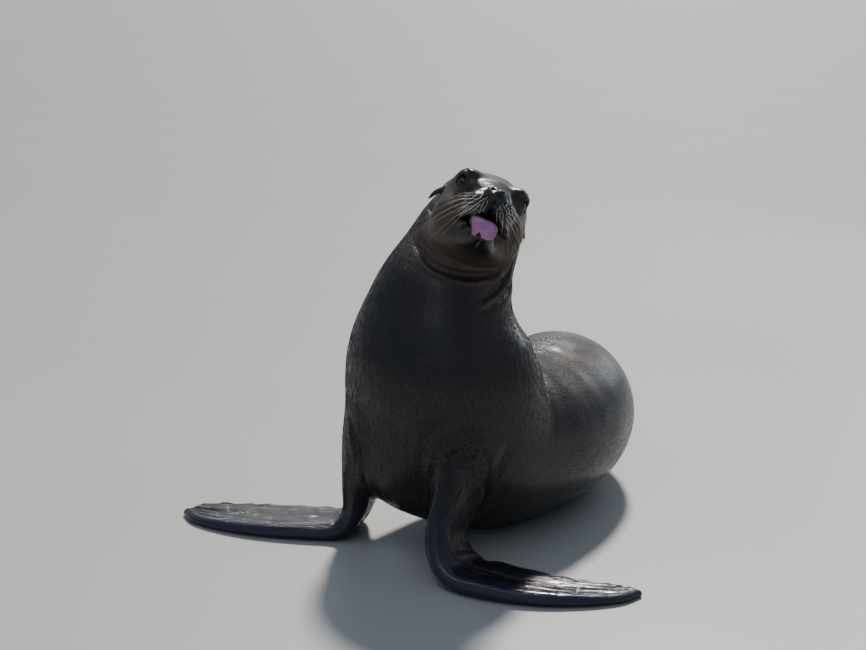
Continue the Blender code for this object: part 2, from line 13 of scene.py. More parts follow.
import bmesh
import bpy
import numpy as np
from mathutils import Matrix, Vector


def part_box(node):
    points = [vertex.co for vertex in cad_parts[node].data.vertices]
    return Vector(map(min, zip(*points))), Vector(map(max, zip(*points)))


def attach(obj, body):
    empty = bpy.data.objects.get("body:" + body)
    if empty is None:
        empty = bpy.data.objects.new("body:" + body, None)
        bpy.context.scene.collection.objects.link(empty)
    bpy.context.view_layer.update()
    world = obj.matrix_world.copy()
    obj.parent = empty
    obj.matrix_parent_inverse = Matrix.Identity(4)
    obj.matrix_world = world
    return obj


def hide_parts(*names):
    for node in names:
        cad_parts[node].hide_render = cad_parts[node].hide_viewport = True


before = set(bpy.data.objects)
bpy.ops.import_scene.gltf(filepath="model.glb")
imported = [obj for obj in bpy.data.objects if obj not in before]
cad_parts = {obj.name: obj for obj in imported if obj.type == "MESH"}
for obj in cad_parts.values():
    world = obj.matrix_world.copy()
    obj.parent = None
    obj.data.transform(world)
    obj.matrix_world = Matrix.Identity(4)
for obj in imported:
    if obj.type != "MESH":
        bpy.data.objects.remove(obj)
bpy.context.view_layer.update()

import openvdb
from mathutils import Matrix, Vector
from mathutils.bvhtree import BVHTree

COAT_DEPTH = 0.0012  # from the tips of the flat fur to the skin
FLOOR_GAP = 0.0003  # from the floor to the flat underside of the skin
BLOCK = 8  # cells to a side of the blocks in which a field is sampled
SKIN_CELL, TONGUE_CELL = 0.0065, 0.0011
SLOPE_STEP = 0.0007  # from a point to the samples that give a field's slope there

# Stations of the spine, from the tail's tip to the skull: a point of the centre line, the half width, the
# depths to the back and to the belly, and which way the back faces. The working origin is on the floor
# between the wrists.
SPINE = [
    ((0.115, 0.925, 0.030), 0.012, 0.009, 0.009, (0.0, 0.2, 1.0)),
    ((0.145, 0.850, 0.052), 0.034, 0.028, 0.030, (0.0, 0.2, 1.0)),
    ((0.180, 0.775, 0.082), 0.078, 0.062, 0.070, (0.0, 0.1, 1.0)),
    ((0.222, 0.680, 0.118), 0.118, 0.102, 0.115, (0.0, 0.0, 1.0)),
    ((0.272, 0.560, 0.152), 0.154, 0.152, 0.156, (0.0, 0.0, 1.0)),
    ((0.278, 0.410, 0.165), 0.172, 0.172, 0.175, (0.0, 0.0, 1.0)),
    ((0.205, 0.260, 0.172), 0.178, 0.172, 0.180, (0.1, 0.1, 1.0)),
    ((0.090, 0.145, 0.205), 0.188, 0.180, 0.200, (0.4, 0.4, 0.8)),
    ((0.026, 0.104, 0.315), 0.201, 0.186, 0.188, (0.5, 0.8, 0.2)),
    ((0.013, 0.108, 0.405), 0.188, 0.174, 0.176, (0.5, 0.85, 0.0)),
    ((0.021, 0.122, 0.490), 0.149, 0.140, 0.142, (0.4, 0.9, 0.0)),
    ((0.049, 0.148, 0.565), 0.120, 0.118, 0.118, (0.2, 1.0, 0.1)),
    ((0.080, 0.166, 0.625), 0.103, 0.098, 0.102, (0.0, 1.0, 0.3)),
    ((0.098, 0.158, 0.664), 0.084, 0.074, 0.080, (-0.1, 0.9, 0.5)),
]
# How wide the fillets into the trunk are. The head's goes with the height in the head's frame.
KEEL_FILLET, FORE_FILLET, HIND_FILLET = 0.060, 0.035, 0.030
HEAD_FILLET_HEIGHTS, HEAD_FILLETS = (-0.06, 0.02), (0.032, 0.045)
JAW_FILLET = 0.014  # of the lower jaw into the skull
# The breast bone's forward bulge, low between the fore limbs: centre and radii.
KEEL = ((-0.020, 0.080, 0.190), (0.145, 0.120, 0.125))

# Each fore limb from the shoulder to the tip: a point of the centre line, the way from the leading to the
# trailing edge, and half the chord. The animal's right flipper lies spread wider than the left.
FORE = {
    "left": [
        ((0.090, 0.030, 0.300), (0.50, 0.70, -0.20), 0.088),
        ((0.072, -0.020, 0.215), (0.50, 0.75, -0.10), 0.080),
        ((0.044, -0.052, 0.130), (0.45, 0.85, 0.00), 0.068),
        ((0.027, -0.082, 0.066), (0.40, 0.90, 0.00), 0.064),
        ((0.055, -0.127, 0.0190), (0.35, 0.93, 0.00), 0.074),
        ((0.125, -0.167, 0.0135), (0.30, 0.95, 0.00), 0.080),
        ((0.205, -0.198, 0.0110), (0.20, 0.98, 0.00), 0.071),
        ((0.280, -0.213, 0.0090), (0.08, 1.00, 0.00), 0.056),
        ((0.345, -0.217, 0.0080), (0.00, 1.00, 0.00), 0.037),
        ((0.384, -0.212, 0.0068), (0.00, 1.00, 0.00), 0.014),
    ],
    "right": [
        ((-0.100, 0.115, 0.300), (0.30, 0.90, -0.20), 0.088),
        ((-0.128, 0.098, 0.215), (0.25, 0.95, -0.10), 0.080),
        ((-0.147, 0.098, 0.130), (0.20, 0.98, 0.00), 0.068),
        ((-0.152, 0.105, 0.064), (0.22, 0.97, 0.00), 0.064),
        ((-0.179, 0.117, 0.0195), (0.28, 0.95, 0.00), 0.076),
        ((-0.262, 0.135, 0.0135), (0.32, 0.94, 0.00), 0.085),
        ((-0.340, 0.152, 0.0110), (0.35, 0.93, 0.00), 0.085),
        ((-0.412, 0.172, 0.0090), (0.38, 0.92, 0.00), 0.077),
        ((-0.474, 0.194, 0.0080), (0.40, 0.91, 0.00), 0.060),
        ((-0.512, 0.216, 0.0068), (0.42, 0.90, 0.00), 0.032),
    ],
}
# Half the thickness of the blade and of its round leading edge, at the same stations.
FORE_THICKNESS = [0.060, 0.050, 0.037, 0.029, 0.021, 0.0165, 0.0135, 0.0115, 0.0100, 0.0085]
LEADING_EDGE = [0.030, 0.030, 0.026, 0.023, 0.0205, 0.0175, 0.0150, 0.0125, 0.0100, 0.0080]
WRIST = 0.42  # how far along the fore limb the bare flipper starts, as a share
HIND_BARE = 0.30, 0.42  # the shares along a hind limb between which its fur ends
LIMB_REACH = 0.012  # how near to a limb's sweep its skin lies
BLADE_SQUARENESS = 2.2  # how square a flipper's oval section is: 2 is an ellipse
FINGERS = 5
CURL_HEIGHT, CURL_RADIUS = 0.0125, 0.0048  # of the rolled trailing edge near the wrist
# Threads of skin along a fore flipper: size along, across and up, depth, width, and the noise's seed.
THREADS = [
    ((0.075, 0.0110, 0.03), 0.0034, 0.25, 5),
    ((0.040, 0.0055, 0.03), 0.0016, 0.35, 6),
]
VALLEY = 0.0030  # depth of the skin between the fingers and between the toes

# A hind flipper, from the knee to the toes' tips: distance along it, half its width, half its thickness.
HIND_SECTIONS = [
    (-0.090, 0.062, 0.055),
    (-0.030, 0.046, 0.042),
    (0.020, 0.040, 0.030),
    (0.075, 0.048, 0.019),
    (0.140, 0.062, 0.0125),
    (0.205, 0.078, 0.0095),
    (0.250, 0.086, 0.0075),
    (0.285, 0.084, 0.0060),
]
# Each ankle's place, and the flipper's heading in degrees.
HIND_ANKLES = {"right": ((0.072, 0.775), 176), "left": ((0.250, 0.822), 62)}
TOES = 5
FAN_WIDTH, FAN_SPREAD = 0.040, 0.17  # of the fan of toes: half its width at the ankle, and its growth
FLAPS_FROM, FLAP_LENGTH, FLAP_NOTCH = 0.232, 0.05, 0.026  # of the soft flaps beyond the toes

# The head has a frame of its own: origin at the nose's tip, +X to the animal's left, +Y to the back, +Z up.
NOSE = (0.123, -0.050, 0.745)
HEAD_YAW, HEAD_PITCH, HEAD_ROLL = 12.0, 26.8, 26.0  # degrees: to the left, up, left side down
# Stations of the skull from nose to nape: distance back, height, half width, depth up and depth down.
SKULL = [
    (0.017, -0.008, 0.021, 0.016, 0.019),
    (0.028, -0.011, 0.034, 0.028, 0.030),
    (0.050, -0.012, 0.043, 0.038, 0.034),
    (0.074, -0.008, 0.051, 0.047, 0.038),
    (0.098, -0.001, 0.065, 0.054, 0.046),
    (0.128, 0.006, 0.081, 0.060, 0.062),
    (0.165, 0.008, 0.086, 0.065, 0.080),
    (0.205, 0.002, 0.086, 0.063, 0.088),
    (0.245, -0.014, 0.083, 0.062, 0.090),
]
# Stations of the lower jaw from chin to throat: distance back, height, half width, half depth.
JAW = [
    (0.022, -0.088, 0.019, 0.014),
    (0.040, -0.087, 0.031, 0.021),
    (0.075, -0.086, 0.044, 0.028),
    (0.110, -0.078, 0.058, 0.034),
    (0.150, -0.066, 0.074, 0.043),
    (0.185, -0.057, 0.081, 0.050),
]
# Soft forms of one side of the face: centre, radii and how wide they blend.
FACE = {
    "whisker_pad": ((0.026, 0.034, -0.030), (0.027, 0.032, 0.027), 0.010),
    "upper_lip": ((0.034, 0.066, -0.042), (0.018, 0.038, 0.014), 0.012),
    "brow": ((0.050, 0.108, 0.039), (0.025, 0.044, 0.017), 0.018),
    "cheek": ((0.056, 0.130, -0.034), (0.036, 0.048, 0.040), 0.024),
}
NOSE_PAD = ((0.0, 0.012, -0.004), (0.022, 0.012, 0.013))
THROAT = ((-0.004, 0.142, -0.047), (0.086, 0.078, 0.060))
# The gap between the lips: distance back, height, half width, half height. It is GAPE deep.
MOUTH = [
    (-0.020, -0.0620, 0.070, 0.0036),
    (0.020, -0.0610, 0.070, 0.0034),
    (0.050, -0.0580, 0.070, 0.0026),
    (0.080, -0.0540, 0.070, 0.0014),
    (0.108, -0.0500, 0.072, 0.0006),
]
GAPE = 0.010
EYE, EYE_RADIUS = (0.0530, 0.094, 0.020), 0.0175
GAZE, EYE_OPENING = (0.82, -0.55, 0.14), 0.0122
# The tongue: distance to the left and back, height, half width, half thickness.
TONGUE = [
    (0.000, 0.080, -0.0600, 0.020, 0.0040),
    (-0.002, 0.048, -0.0620, 0.024, 0.0058),
    (-0.0045, 0.020, -0.0630, 0.0240, 0.0064),
    (-0.0035, 0.003, -0.0690, 0.0245, 0.0060),
    (0.000, -0.004, -0.0820, 0.0250, 0.0052),
    (0.002, -0.002, -0.0970, 0.0210, 0.0045),
]
TONGUE_NOTCH = ((-0.0065, -0.002, -0.1080), (0.0050, 0.020, 0.0150))
TONGUE_ROOM = 0.0008
EAR_ROOT, EAR_TIP, EAR_RADIUS = (0.086, 0.170, 0.022), (0.104, 0.198, 0.001), 0.0085

# Creases of the skin: how deep and how wide each is, and points along it, close to the skin.
CREASES = {
    "throat": (0.0095, 0.0062, [
        (-0.040, 0.080, 0.620), (-0.031, 0.066, 0.612), (-0.014, 0.042, 0.598), (0.008, 0.022, 0.583),
        (0.040, 0.013, 0.571), (0.081, 0.022, 0.564), (0.121, 0.048, 0.571), (0.150, 0.036, 0.597),
        (0.162, 0.022, 0.620),
    ]),
    "neck_upper": (0.0105, 0.0062, [
        (0.080, -0.010, 0.522), (0.110, 0.025, 0.526), (0.138, 0.077, 0.549), (0.155, 0.120, 0.585),
    ]),
    "neck_lower": (0.0080, 0.0070, [
        (0.075, -0.025, 0.500), (0.115, 0.018, 0.503), (0.145, 0.080, 0.518), (0.155, 0.140, 0.550),
    ]),
    "rump": (0.0020, 0.0160, [
        (0.222, 0.370, 0.338), (0.240, 0.310, 0.340), (0.270, 0.292, 0.336),
        (0.310, 0.308, 0.330), (0.350, 0.335, 0.315), (0.390, 0.362, 0.290),
    ]),
    "shoulder_outer": (0.0052, 0.0085, [
        (0.015, -0.090, 0.212), (0.045, -0.095, 0.236), (0.098, -0.078, 0.252),
    ]),
    "shoulder_inner": (0.0036, 0.0065, [
        (0.035, -0.096, 0.216), (0.060, -0.094, 0.228), (0.090, -0.082, 0.236),
    ]),
    "shoulder_top": (0.0030, 0.0070, [
        (0.045, -0.095, 0.256), (0.075, -0.088, 0.265), (0.105, -0.075, 0.262),
    ]),
    "arm_left": (0.0034, 0.0120, [
        (0.150, -0.045, 0.262), (0.131, -0.056, 0.210), (0.110, -0.059, 0.172), (0.080, -0.070, 0.115),
    ]),
    "arm_right": (0.0050, 0.0060, [
        (-0.165, 0.035, 0.285), (-0.155, 0.015, 0.235), (-0.143, 0.005, 0.185),
    ]),
}
# Rows of soft folds round the trunk. Shares along the spine: the middle and the spread. Shares of the way up:
# where they start and where they are full. Depth and spacing, then the waver: its strength, size and seed.
TRUNK_FOLDS = {
    "waist": (0.47, 0.07, -0.2, 0.7, 0.0004, 0.0100, 2.0, 0.09, 31),
    "nape": (0.84, 0.05, 0.1, 0.7, 0.0024, 0.0060, 2.5, 0.07, 33),
}
CREASE_ROLL, ROLL_AWAY = 0.36, 2.1  # the roll beside a crease: its height in depths, its place in widths
# Folds round the eye: depth, distance from the line of gaze, width, and the side and heights of the eye
# between which it fades in.
EYE_FOLDS = [
    (-0.0016, 0.0152, 0.0028, 0, 0, 0),
    (0.0016, 0.0215, 0.0022, 1, -0.004, 0.010),
    (0.0010, 0.0225, 0.0026, -1, 0.000, 0.012),
]


def unit(rows):
    return rows / np.linalg.norm(rows, axis=-1, keepdims=True)


def eased(value, low, high):
    """0 below low, 1 above high, and smooth between."""
    share = np.clip((value - low) / (high - low), 0, 1)
    return share * share * (3 - 2 * share)


def in_box(points, centre, reach):
    """Which points lie within reach of a centre along every axis."""
    return np.abs(points - np.array(centre)).max(1) < reach


def ridge(value, width):
    """1 where value is 0, falling to 0 a few widths away."""
    return np.exp(-((value / width) ** 2))


def lattice(cells, seed):
    """A number from -1 to 1 for each cell, the same in each run."""
    mixed = cells @ np.array([73856093, 19349663, 83492791]) + seed * 1013904223
    mixed = (mixed ^ (mixed >> 13)) * 1274126177
    mixed = mixed ^ (mixed >> 16)
    return (mixed & 0xFFFF) / 0x7FFF - 1


def noise(points, size, seed=0):
    """Smooth noise from -1 to 1, its bumps about size across. Size may differ along each axis."""
    spot = points / size
    cell = np.floor(spot).astype(np.int64)
    share = spot - cell
    share = share * share * (3 - 2 * share)
    total = 0
    for corner in itertools.product((0, 1), repeat=3):
        weight = np.prod(np.where(corner, share, 1 - share), axis=1)
        total = total + weight * lattice(cell + corner, seed)
    return total


def smooth_rows(rows, per_span):
    """Rows of numbers with more rows between them, on a Catmull-Rom curve through all of them."""
    rows = np.asarray(rows, float)
    padded = np.vstack([2 * rows[0] - rows[1], rows, 2 * rows[-1] - rows[-2]])
    t = np.linspace(0, 1, per_span, endpoint=False)[:, None]
    spans = []
    for p0, p1, p2, p3 in zip(padded, padded[1:], padded[2:], padded[3:]):
        bend = 2 * p0 - 5 * p1 + 4 * p2 - p3
        twist = -p0 + 3 * p1 - 3 * p2 + p3
        spans.append(p1 + 0.5 * t * ((p2 - p0) + t * (bend + t * twist)))
    return np.vstack(spans + [rows[-1:]])


def joined(a, b, reach):
    """Two fields as one shape, with a fillet about reach wide where they meet."""
    near = np.maximum(reach - np.abs(a - b), 0) / reach
    return np.minimum(a, b) - near * near * reach / 4


def carved(a, b, reach):
    """Field a with shape b taken out of it, and an edge about reach wide."""
    return -joined(-a, b, reach)


def ellipsoid(points, centre, radii):
    """About the distance from points to an ellipsoid, negative inside."""
    offset = (points - np.asarray(centre)) / np.asarray(radii)
    scaled = np.linalg.norm(offset, axis=1)
    slope = np.linalg.norm(offset / np.asarray(radii), axis=1)
    return scaled * (scaled - 1) / np.maximum(slope, 1e-9)


class Sweep:
    """Superellipse sections swept along a smooth line.

    Each station holds a point of the line, the half width, the depths up and down, and the way up."""

    MARGIN = 0.12  # points this far outside the sweep's box aren't measured exactly

    def __init__(self, points, widths, ups, downs, way_up, squareness=2.0, per_span=8):
        rows = smooth_rows(np.column_stack([points, widths, ups, downs, way_up]), per_span)
        line, self.sizes = rows[:, :3], rows[:, 3:6]
        along = unit(np.gradient(line, axis=0))
        up = rows[:, 6:] - (rows[:, 6:] * along).sum(1, keepdims=True) * along
        up = unit(up)
        self.table = np.hstack([line, along, up, np.cross(along, up), self.sizes])
        self.spacing = np.linalg.norm(np.gradient(line, axis=0), axis=1)
        self.squareness = squareness
        largest = self.sizes.max()
        self.low, self.high = line.min(0) - largest, line.max(0) + largest

    def __call__(self, points):
        outside = np.maximum(self.low - points, points - self.high).max(1)
        found = np.maximum(outside, 0) + self.sizes.min()
        near = outside < self.MARGIN
        if near.any():
            found[near] = self.measured(points[near])
        return found

    def located(self, points):
        """Each point's place on the line, that place's row, and its ways past the end, up and across."""
        line = self.table[:, :3]
        last = len(line) - 1
        place = ((line * line).sum(1) - 2 * points @ line.T).argmin(1).astype(float)
        for _ in range(6):
            here, spacing = self.station(place)
            slide = ((points - here[:, :3]) * here[:, 3:6]).sum(1) / spacing
            place = np.clip(place + 0.6 * slide, 0, last)
        here, _ = self.station(place)
        offset = points - here[:, :3]
        past_end = np.where((place == 0) | (place == last), (offset * here[:, 3:6]).sum(1), 0)
        high = (offset * here[:, 6:9]).sum(1)
        wide = (offset * here[:, 9:12]).sum(1)
        return place, here, past_end, high, wide

    def measured(self, points):
        _, here, past_end, high, wide = self.located(points)
        half_width, up, down = here[:, 12:].T
        depth = np.where(high > 0, up, down)
        power = self.squareness
        ratio = (np.abs(wide / half_width) ** power + np.abs(high / depth) ** power) ** (1 / power)
        ratio = np.sqrt(ratio**2 + (past_end / np.minimum(half_width, depth)) ** 2)
        length = np.sqrt(wide**2 + high**2 + past_end**2)
        ratio = np.maximum(ratio, 1e-6)
        return np.where(length > 1e-7, length * (1 - 1 / ratio), -depth)

    def station(self, place):
        """The table's row and the spacing at a place between rows."""
        i = np.minimum(place.astype(int), len(self.table) - 2)
        share = place - i
        rows = self.table[i] * (1 - share)[:, None] + self.table[i + 1] * share[:, None]
        return rows, self.spacing[i] * (1 - share) + self.spacing[i + 1] * share

    def shares(self, points):
        """How far along each point lies, from 0 to 1, and how far across and up, from -1 to 1."""
        place, here, _, high, wide = self.located(points)
        return place / (len(self.table) - 1), wide / here[:, 12], high / here[:, 13]

    def grain(self, points):
        """Points as they would lie if the line were straight: distance along, across and up."""
        place, _, past_end, high, wide = self.located(points)
        run = np.concatenate([[0], np.cumsum(self.spacing[1:])])
        return np.column_stack([np.interp(place, range(len(run)), run) + past_end, wide, high])


def head_matrix():
    turn = (
        Matrix.Rotation(math.radians(HEAD_YAW), 4, "Z")
        @ Matrix.Rotation(math.radians(-HEAD_PITCH), 4, "X")
        @ Matrix.Rotation(math.radians(HEAD_ROLL), 4, "Y")
    )
    return Matrix.Translation(NOSE) @ turn


HEAD = head_matrix()
HEAD_TURN = np.array(HEAD.to_3x3())
HEAD_MIDDLE, HEAD_REACH = (0, 0.13, -0.02), 0.30  # the middle of a cube round the head, and half its side
GAZE_WAY = unit(np.array(GAZE))
SIDES = {1: "left", -1: "right"}


def in_head(points):
    """Points in the head's own frame."""
    return (points - np.array(NOSE)) @ HEAD_TURN


def out_of_head(points):
    """Points of the head's own frame, in the working frame."""
    return np.asarray(points) @ HEAD_TURN.T + np.array(NOSE)


def mirrored(points):
    """The head's points, with its right side folded on to its left."""
    return np.column_stack([np.abs(points[:, 0]), points[:, 1:]])


def sweep_in_head(rows, squareness=2.0):
    """A sweep along the head's middle, from rows of (left, back, height, half width, up, down)."""
    left, back, height, half_width, up, down = np.array(rows).T
    points = np.column_stack([left, back, height])
    way_up = np.cross([1.0, 0.0, 0.0], np.gradient(points, axis=0))
    return Sweep(points, half_width, up, down, way_up, squareness)


def fore_limb(stations):
    """The blade and the thick leading edge of a fore limb, as two sweeps."""
    centres, chords, half_chord = (np.array(column) for column in zip(*stations))
    chords = unit(chords)
    way_up = np.cross(np.gradient(centres, axis=0), chords)
    blade = Sweep(centres, half_chord, FORE_THICKNESS, FORE_THICKNESS, way_up, BLADE_SQUARENESS)
    radii = np.array(LEADING_EDGE)
    edge = centres - chords * (half_chord - radii * 0.9)[:, None]
    edge[:, 2] = np.maximum(edge[:, 2], radii * 0.85)
    return blade, Sweep(edge, radii, radii, radii, way_up)


def curled_edge(stations):
    """The wavy roll of thin skin along a fore flipper's trailing edge, as a sweep."""
    rows = smooth_rows([(*s[0], *unit(np.array(s[1])), s[2]) for s in stations[4:]], 6)
    share = np.linspace(0, 1, len(rows))
    wave = 0.5 + 0.5 * np.sin(share * 31 + 3 * np.sin(share * 11))
    line = rows[:, :3] + rows[:, 3:6] * (rows[:, 6] * (0.78 + 0.07 * wave))[:, None]
    line[:, 2] = CURL_HEIGHT * (1.1 - 0.5 * share) * (0.55 + 0.6 * wave)
    radii = CURL_RADIUS * (1.0 - 0.45 * share) * (0.8 + 0.3 * wave)
    return Sweep(line, radii, radii, radii, np.tile([0.0, 0.0, 1.0], (len(line), 1)), 2.0, 3)


def hind_limb(ankle, heading):
    """A hind flipper's blade, from the knee to the toes."""
    distance, half_width, half_thick = np.array(HIND_SECTIONS).T
    way = np.array([math.cos(math.radians(heading)), math.sin(math.radians(heading)), 0])
    points = np.array([*ankle, 0]) + distance[:, None] * way
    points[:, 2] = half_thick * 0.8
    way_up = np.tile([0.0, 0.0, 1.0], (len(points), 1))
    return Sweep(points, half_width, half_thick, half_thick, way_up, BLADE_SQUARENESS)


SPINE_SWEEP = Sweep(*zip(*SPINE))
FORE_SWEEPS = {side: fore_limb(stations) for side, stations in FORE.items()}
FORE_CURLS = {side: curled_edge(stations) for side, stations in FORE.items()}
HIND_SWEEPS = {side: hind_limb(*place) for side, place in HIND_ANKLES.items()}
SKULL_SWEEP = sweep_in_head([(0, *row) for row in SKULL], 2.5)
JAW_SWEEP = sweep_in_head([(0, *row, row[-1]) for row in JAW], 2.2)
MOUTH_SWEEP = sweep_in_head([(0, *row, row[-1]) for row in MOUTH], 3.0)
TONGUE_SWEEP = sweep_in_head([(*row, row[-1]) for row in TONGUE], 2.3)


def fore_flipper(points, side):
    """A fore limb: a thick smooth leading edge, and behind it finger bones, wrinkles and a ragged edge."""
    blade, edge = FORE_SWEEPS[side]
    limb = joined(blade(points), edge(points), 0.012)
    near = np.flatnonzero(limb < 0.05)
    if len(near) == 0:
        return limb
    spots = points[near]
    along, across, _ = blade.shares(spots)
    _, here, _, high, _ = blade.located(spots)
    behind = -across  # -1 at the leading edge, 1 at the trailing edge
    thick = here[:, 13]
    on_top = eased(high * np.sign(here[:, 8]) / thick, -0.3, 0.4)
    outer = eased(along, WRIST, WRIST + 0.14)
    grain = blade.grain(spots)
    wrinkled = on_top * eased(behind + 0.06 * noise(grain, 0.03, 11), -0.62, -0.40)
    thinner = outer * on_top * eased(behind, -0.6, 0.7) * 0.80 * thick
    finger = (behind + 0.10 * noise(grain, 0.10, 3) + 1) * math.pi * FINGERS
    valleys = VALLEY * outer * wrinkled * (0.5 - 0.5 * np.cos(finger)) ** 0.7
    waves = [np.abs(noise(grain, size, seed)) for size, _, _, seed in THREADS]
    threads = sum(depth * ridge(wave, width) for wave, (_, depth, width, _) in zip(waves, THREADS))
    wrist = ridge(along - WRIST - 0.04, 0.09) * eased(behind, -0.9, -0.3)
    creases = np.abs(noise(grain + 0.006 * waves[0][:, None], (0.012, 0.06, 0.03), 7))
    ragged = 0.86 + 0.12 * noise(grain, (0.022, 1.0, 1.0), 9) - 0.05 * on_top
    torn = outer * np.maximum(behind - ragged, 0) * here[:, 12] * 1.6
    limb[near] += thinner + valleys + outer * wrinkled * threads + torn
    limb[near] += 0.0028 * wrist * ridge(creases, 0.25)
    limb[near] = joined(limb[near], FORE_CURLS[side](spots), 0.010)
    return limb


def hind_flipper(points, side):
    """A hind flipper, with bones like a fan, long flaps beyond the toes and fine wrinkles."""
    sweep = HIND_SWEEPS[side]
    limb = sweep(points)
    near = np.flatnonzero(limb < 0.05)
    if len(near) == 0:
        return limb
    ankle, heading = HIND_ANKLES[side]
    angle = math.radians(heading)
    spots = points[near]
    offset = spots[:, :2] - np.array(ankle)
    along = offset @ np.array([math.cos(angle), math.sin(angle)])
    across = offset @ np.array([-math.sin(angle), math.cos(angle)])
    width = FAN_WIDTH + FAN_SPREAD * np.maximum(along, 0)
    ripple = 0.5 + 0.5 * np.cos(across / width * math.pi * TOES)
    valley = VALLEY * eased(along, 0.05, 0.16)
    notch = FLAP_NOTCH * np.clip((along - FLAPS_FROM) / FLAP_LENGTH, 0, 1)
    grain = np.column_stack([along, across, spots[:, 2]])
    threads = noise(grain, (0.035, 0.007, 0.02), 13)
    limb[near] += (1 - ripple) * valley + (1 - ripple) ** 2 * notch
    limb[near] += 0.0009 * eased(along, 0.0, 0.08) * threads
    return limb


def face_relief(points):
    """How deep the folds and pebbled skin of the face are, in the head's frame. Below 0 is raised."""
    folded = mirrored(points)
    side, back, height = folded.T
    to_eye = folded - np.array(EYE)
    ahead = to_eye @ GAZE_WAY
    off_axis = np.linalg.norm(to_eye - ahead[:, None] * GAZE_WAY, axis=1)
    outward = ahead > 0
    lids = 0
    for depth, radius, width, way, low, high in EYE_FOLDS:
        shown = eased(way * to_eye[:, 2], low, high) if way else 1
        lids = lids + depth * ridge(off_axis - radius, width) * shown * outward
    tear_line = (side - 0.046) * 0.4 + (height - 0.010)
    tear = 0.0012 * ridge(tear_line, 0.0022) * ridge(back - 0.070, 0.010) * outward
    philtrum = 0.0030 * ridge(points[:, 0], 0.0026) * eased(-height, 0.012, 0.020)
    philtrum = philtrum * eased(0.05 - back, 0, 0.02)
    pad = ellipsoid(points, *NOSE_PAD)
    pad_edge = 0.0014 * ridge(pad - 0.0022, 0.0022) * eased(-0.035 - height, -0.02, 0.01)
    pebbles = 0.0004 * noise(points, 0.0032, 21) * eased(-pad, -0.003, 0.001)
    corner = 0.0030 * ridge(height + 0.0505 + 0.25 * (back - 0.108), 0.0030) * ridge(back - 0.118, 0.018)
    lip = 0.0018 * ridge(height + 0.0455 - 0.12 * (back - 0.05), 0.0028) * eased(0.10 - back, 0, 0.03)
    lip = lip * eased(back, 0.012, 0.03)
    chin_line = (height + 0.108) / 0.0034 + 1.2 * noise(points, 0.02, 23)
    chin = 0.0011 * (0.5 + 0.5 * np.cos(chin_line)) * ridge(height + 0.112, 0.012)
    chin = chin * ridge(points[:, 0], 0.022) * eased(0.09 - back, 0, 0.03)
    lumps = 0.0008 * noise(points, 0.022, 25)
    return lids + tear + philtrum + pad_edge + pebbles + corner + lip + chin + lumps


def nostrils(points):
    """Two slits in the nose's pad, leaning in towards their lower ends."""
    lean = math.radians(32)
    folded = mirrored(points) - np.array([0.0092, 0.0015, -0.0035])
    turned = np.column_stack(
        [
            folded[:, 0] * math.cos(lean) - folded[:, 2] * math.sin(lean),
            folded[:, 1],
            folded[:, 0] * math.sin(lean) + folded[:, 2] * math.cos(lean),
        ]
    )
    return ellipsoid(turned, (0, 0, 0), (0.0030, 0.0075, 0.0070))


def closed_mouth(points):
    """The skull and the jaw with no gap between the lips, in the head's frame."""
    return joined(SKULL_SWEEP(points), JAW_SWEEP(points), JAW_FILLET)


def head_field(points):
    """The head's flesh, in its own frame."""
    folded = mirrored(points)
    flesh = joined(SKULL_SWEEP(points), ellipsoid(points, *NOSE_PAD), 0.008)
    for centre, radii, reach in FACE.values():
        flesh = joined(flesh, ellipsoid(folded, centre, radii), reach)
    jaw = joined(JAW_SWEEP(points), ellipsoid(points, *THROAT), 0.030)
    flesh = joined(flesh, jaw, JAW_FILLET)
    flesh = carved(flesh, np.maximum(MOUTH_SWEEP(points), -flesh - GAPE), 0.004)
    flesh = carved(flesh, TONGUE_SWEEP(points) - TONGUE_ROOM, 0.004)
    lids = ellipsoid(folded, EYE, (EYE_RADIUS + 0.0020, EYE_RADIUS + 0.0040, EYE_RADIUS + 0.0020))
    flesh = joined(flesh, lids, 0.012)
    opening = np.array(EYE) + GAZE_WAY * EYE_RADIUS
    radii = (EYE_OPENING, EYE_OPENING * 1.1, EYE_OPENING * 0.9)
    return carved(flesh, ellipsoid(folded, opening, radii), 0.003)


def trunk_relief(points, limbs):
    """How deep the soft folds of the trunk and neck are."""
    along, _, up = SPINE_SWEEP.shares(points)
    grain = SPINE_SWEEP.grain(points)
    folds = 0
    for middle, spread, start, full, depth, spacing, waver, size, seed in TRUNK_FOLDS.values():
        shown = ridge(along - middle, spread) * eased(up, start, full)
        folds = folds + depth * shown * np.cos(grain[:, 0] / spacing + waver * noise(grain, size, seed))
    armpit = 0.0035 * ridge(limbs - 0.004, 0.0055) * eased(0.30 - points[:, 2], 0, 0.12)
    lumps = 0.0010 * noise(points, 0.080, 37) + 0.0003 * noise(points, 0.024, 39)
    return folds + armpit + lumps


def neck_crease(points, to_head):
    """How deep the neck is pressed in all round the back of the jaw."""
    local = in_head(points)
    below = eased(0.01 - local[:, 2], 0, 0.05) * eased(local[:, 0], -0.01, 0.06)
    return 0.0030 * ridge(to_head - 0.003, 0.0060) * below


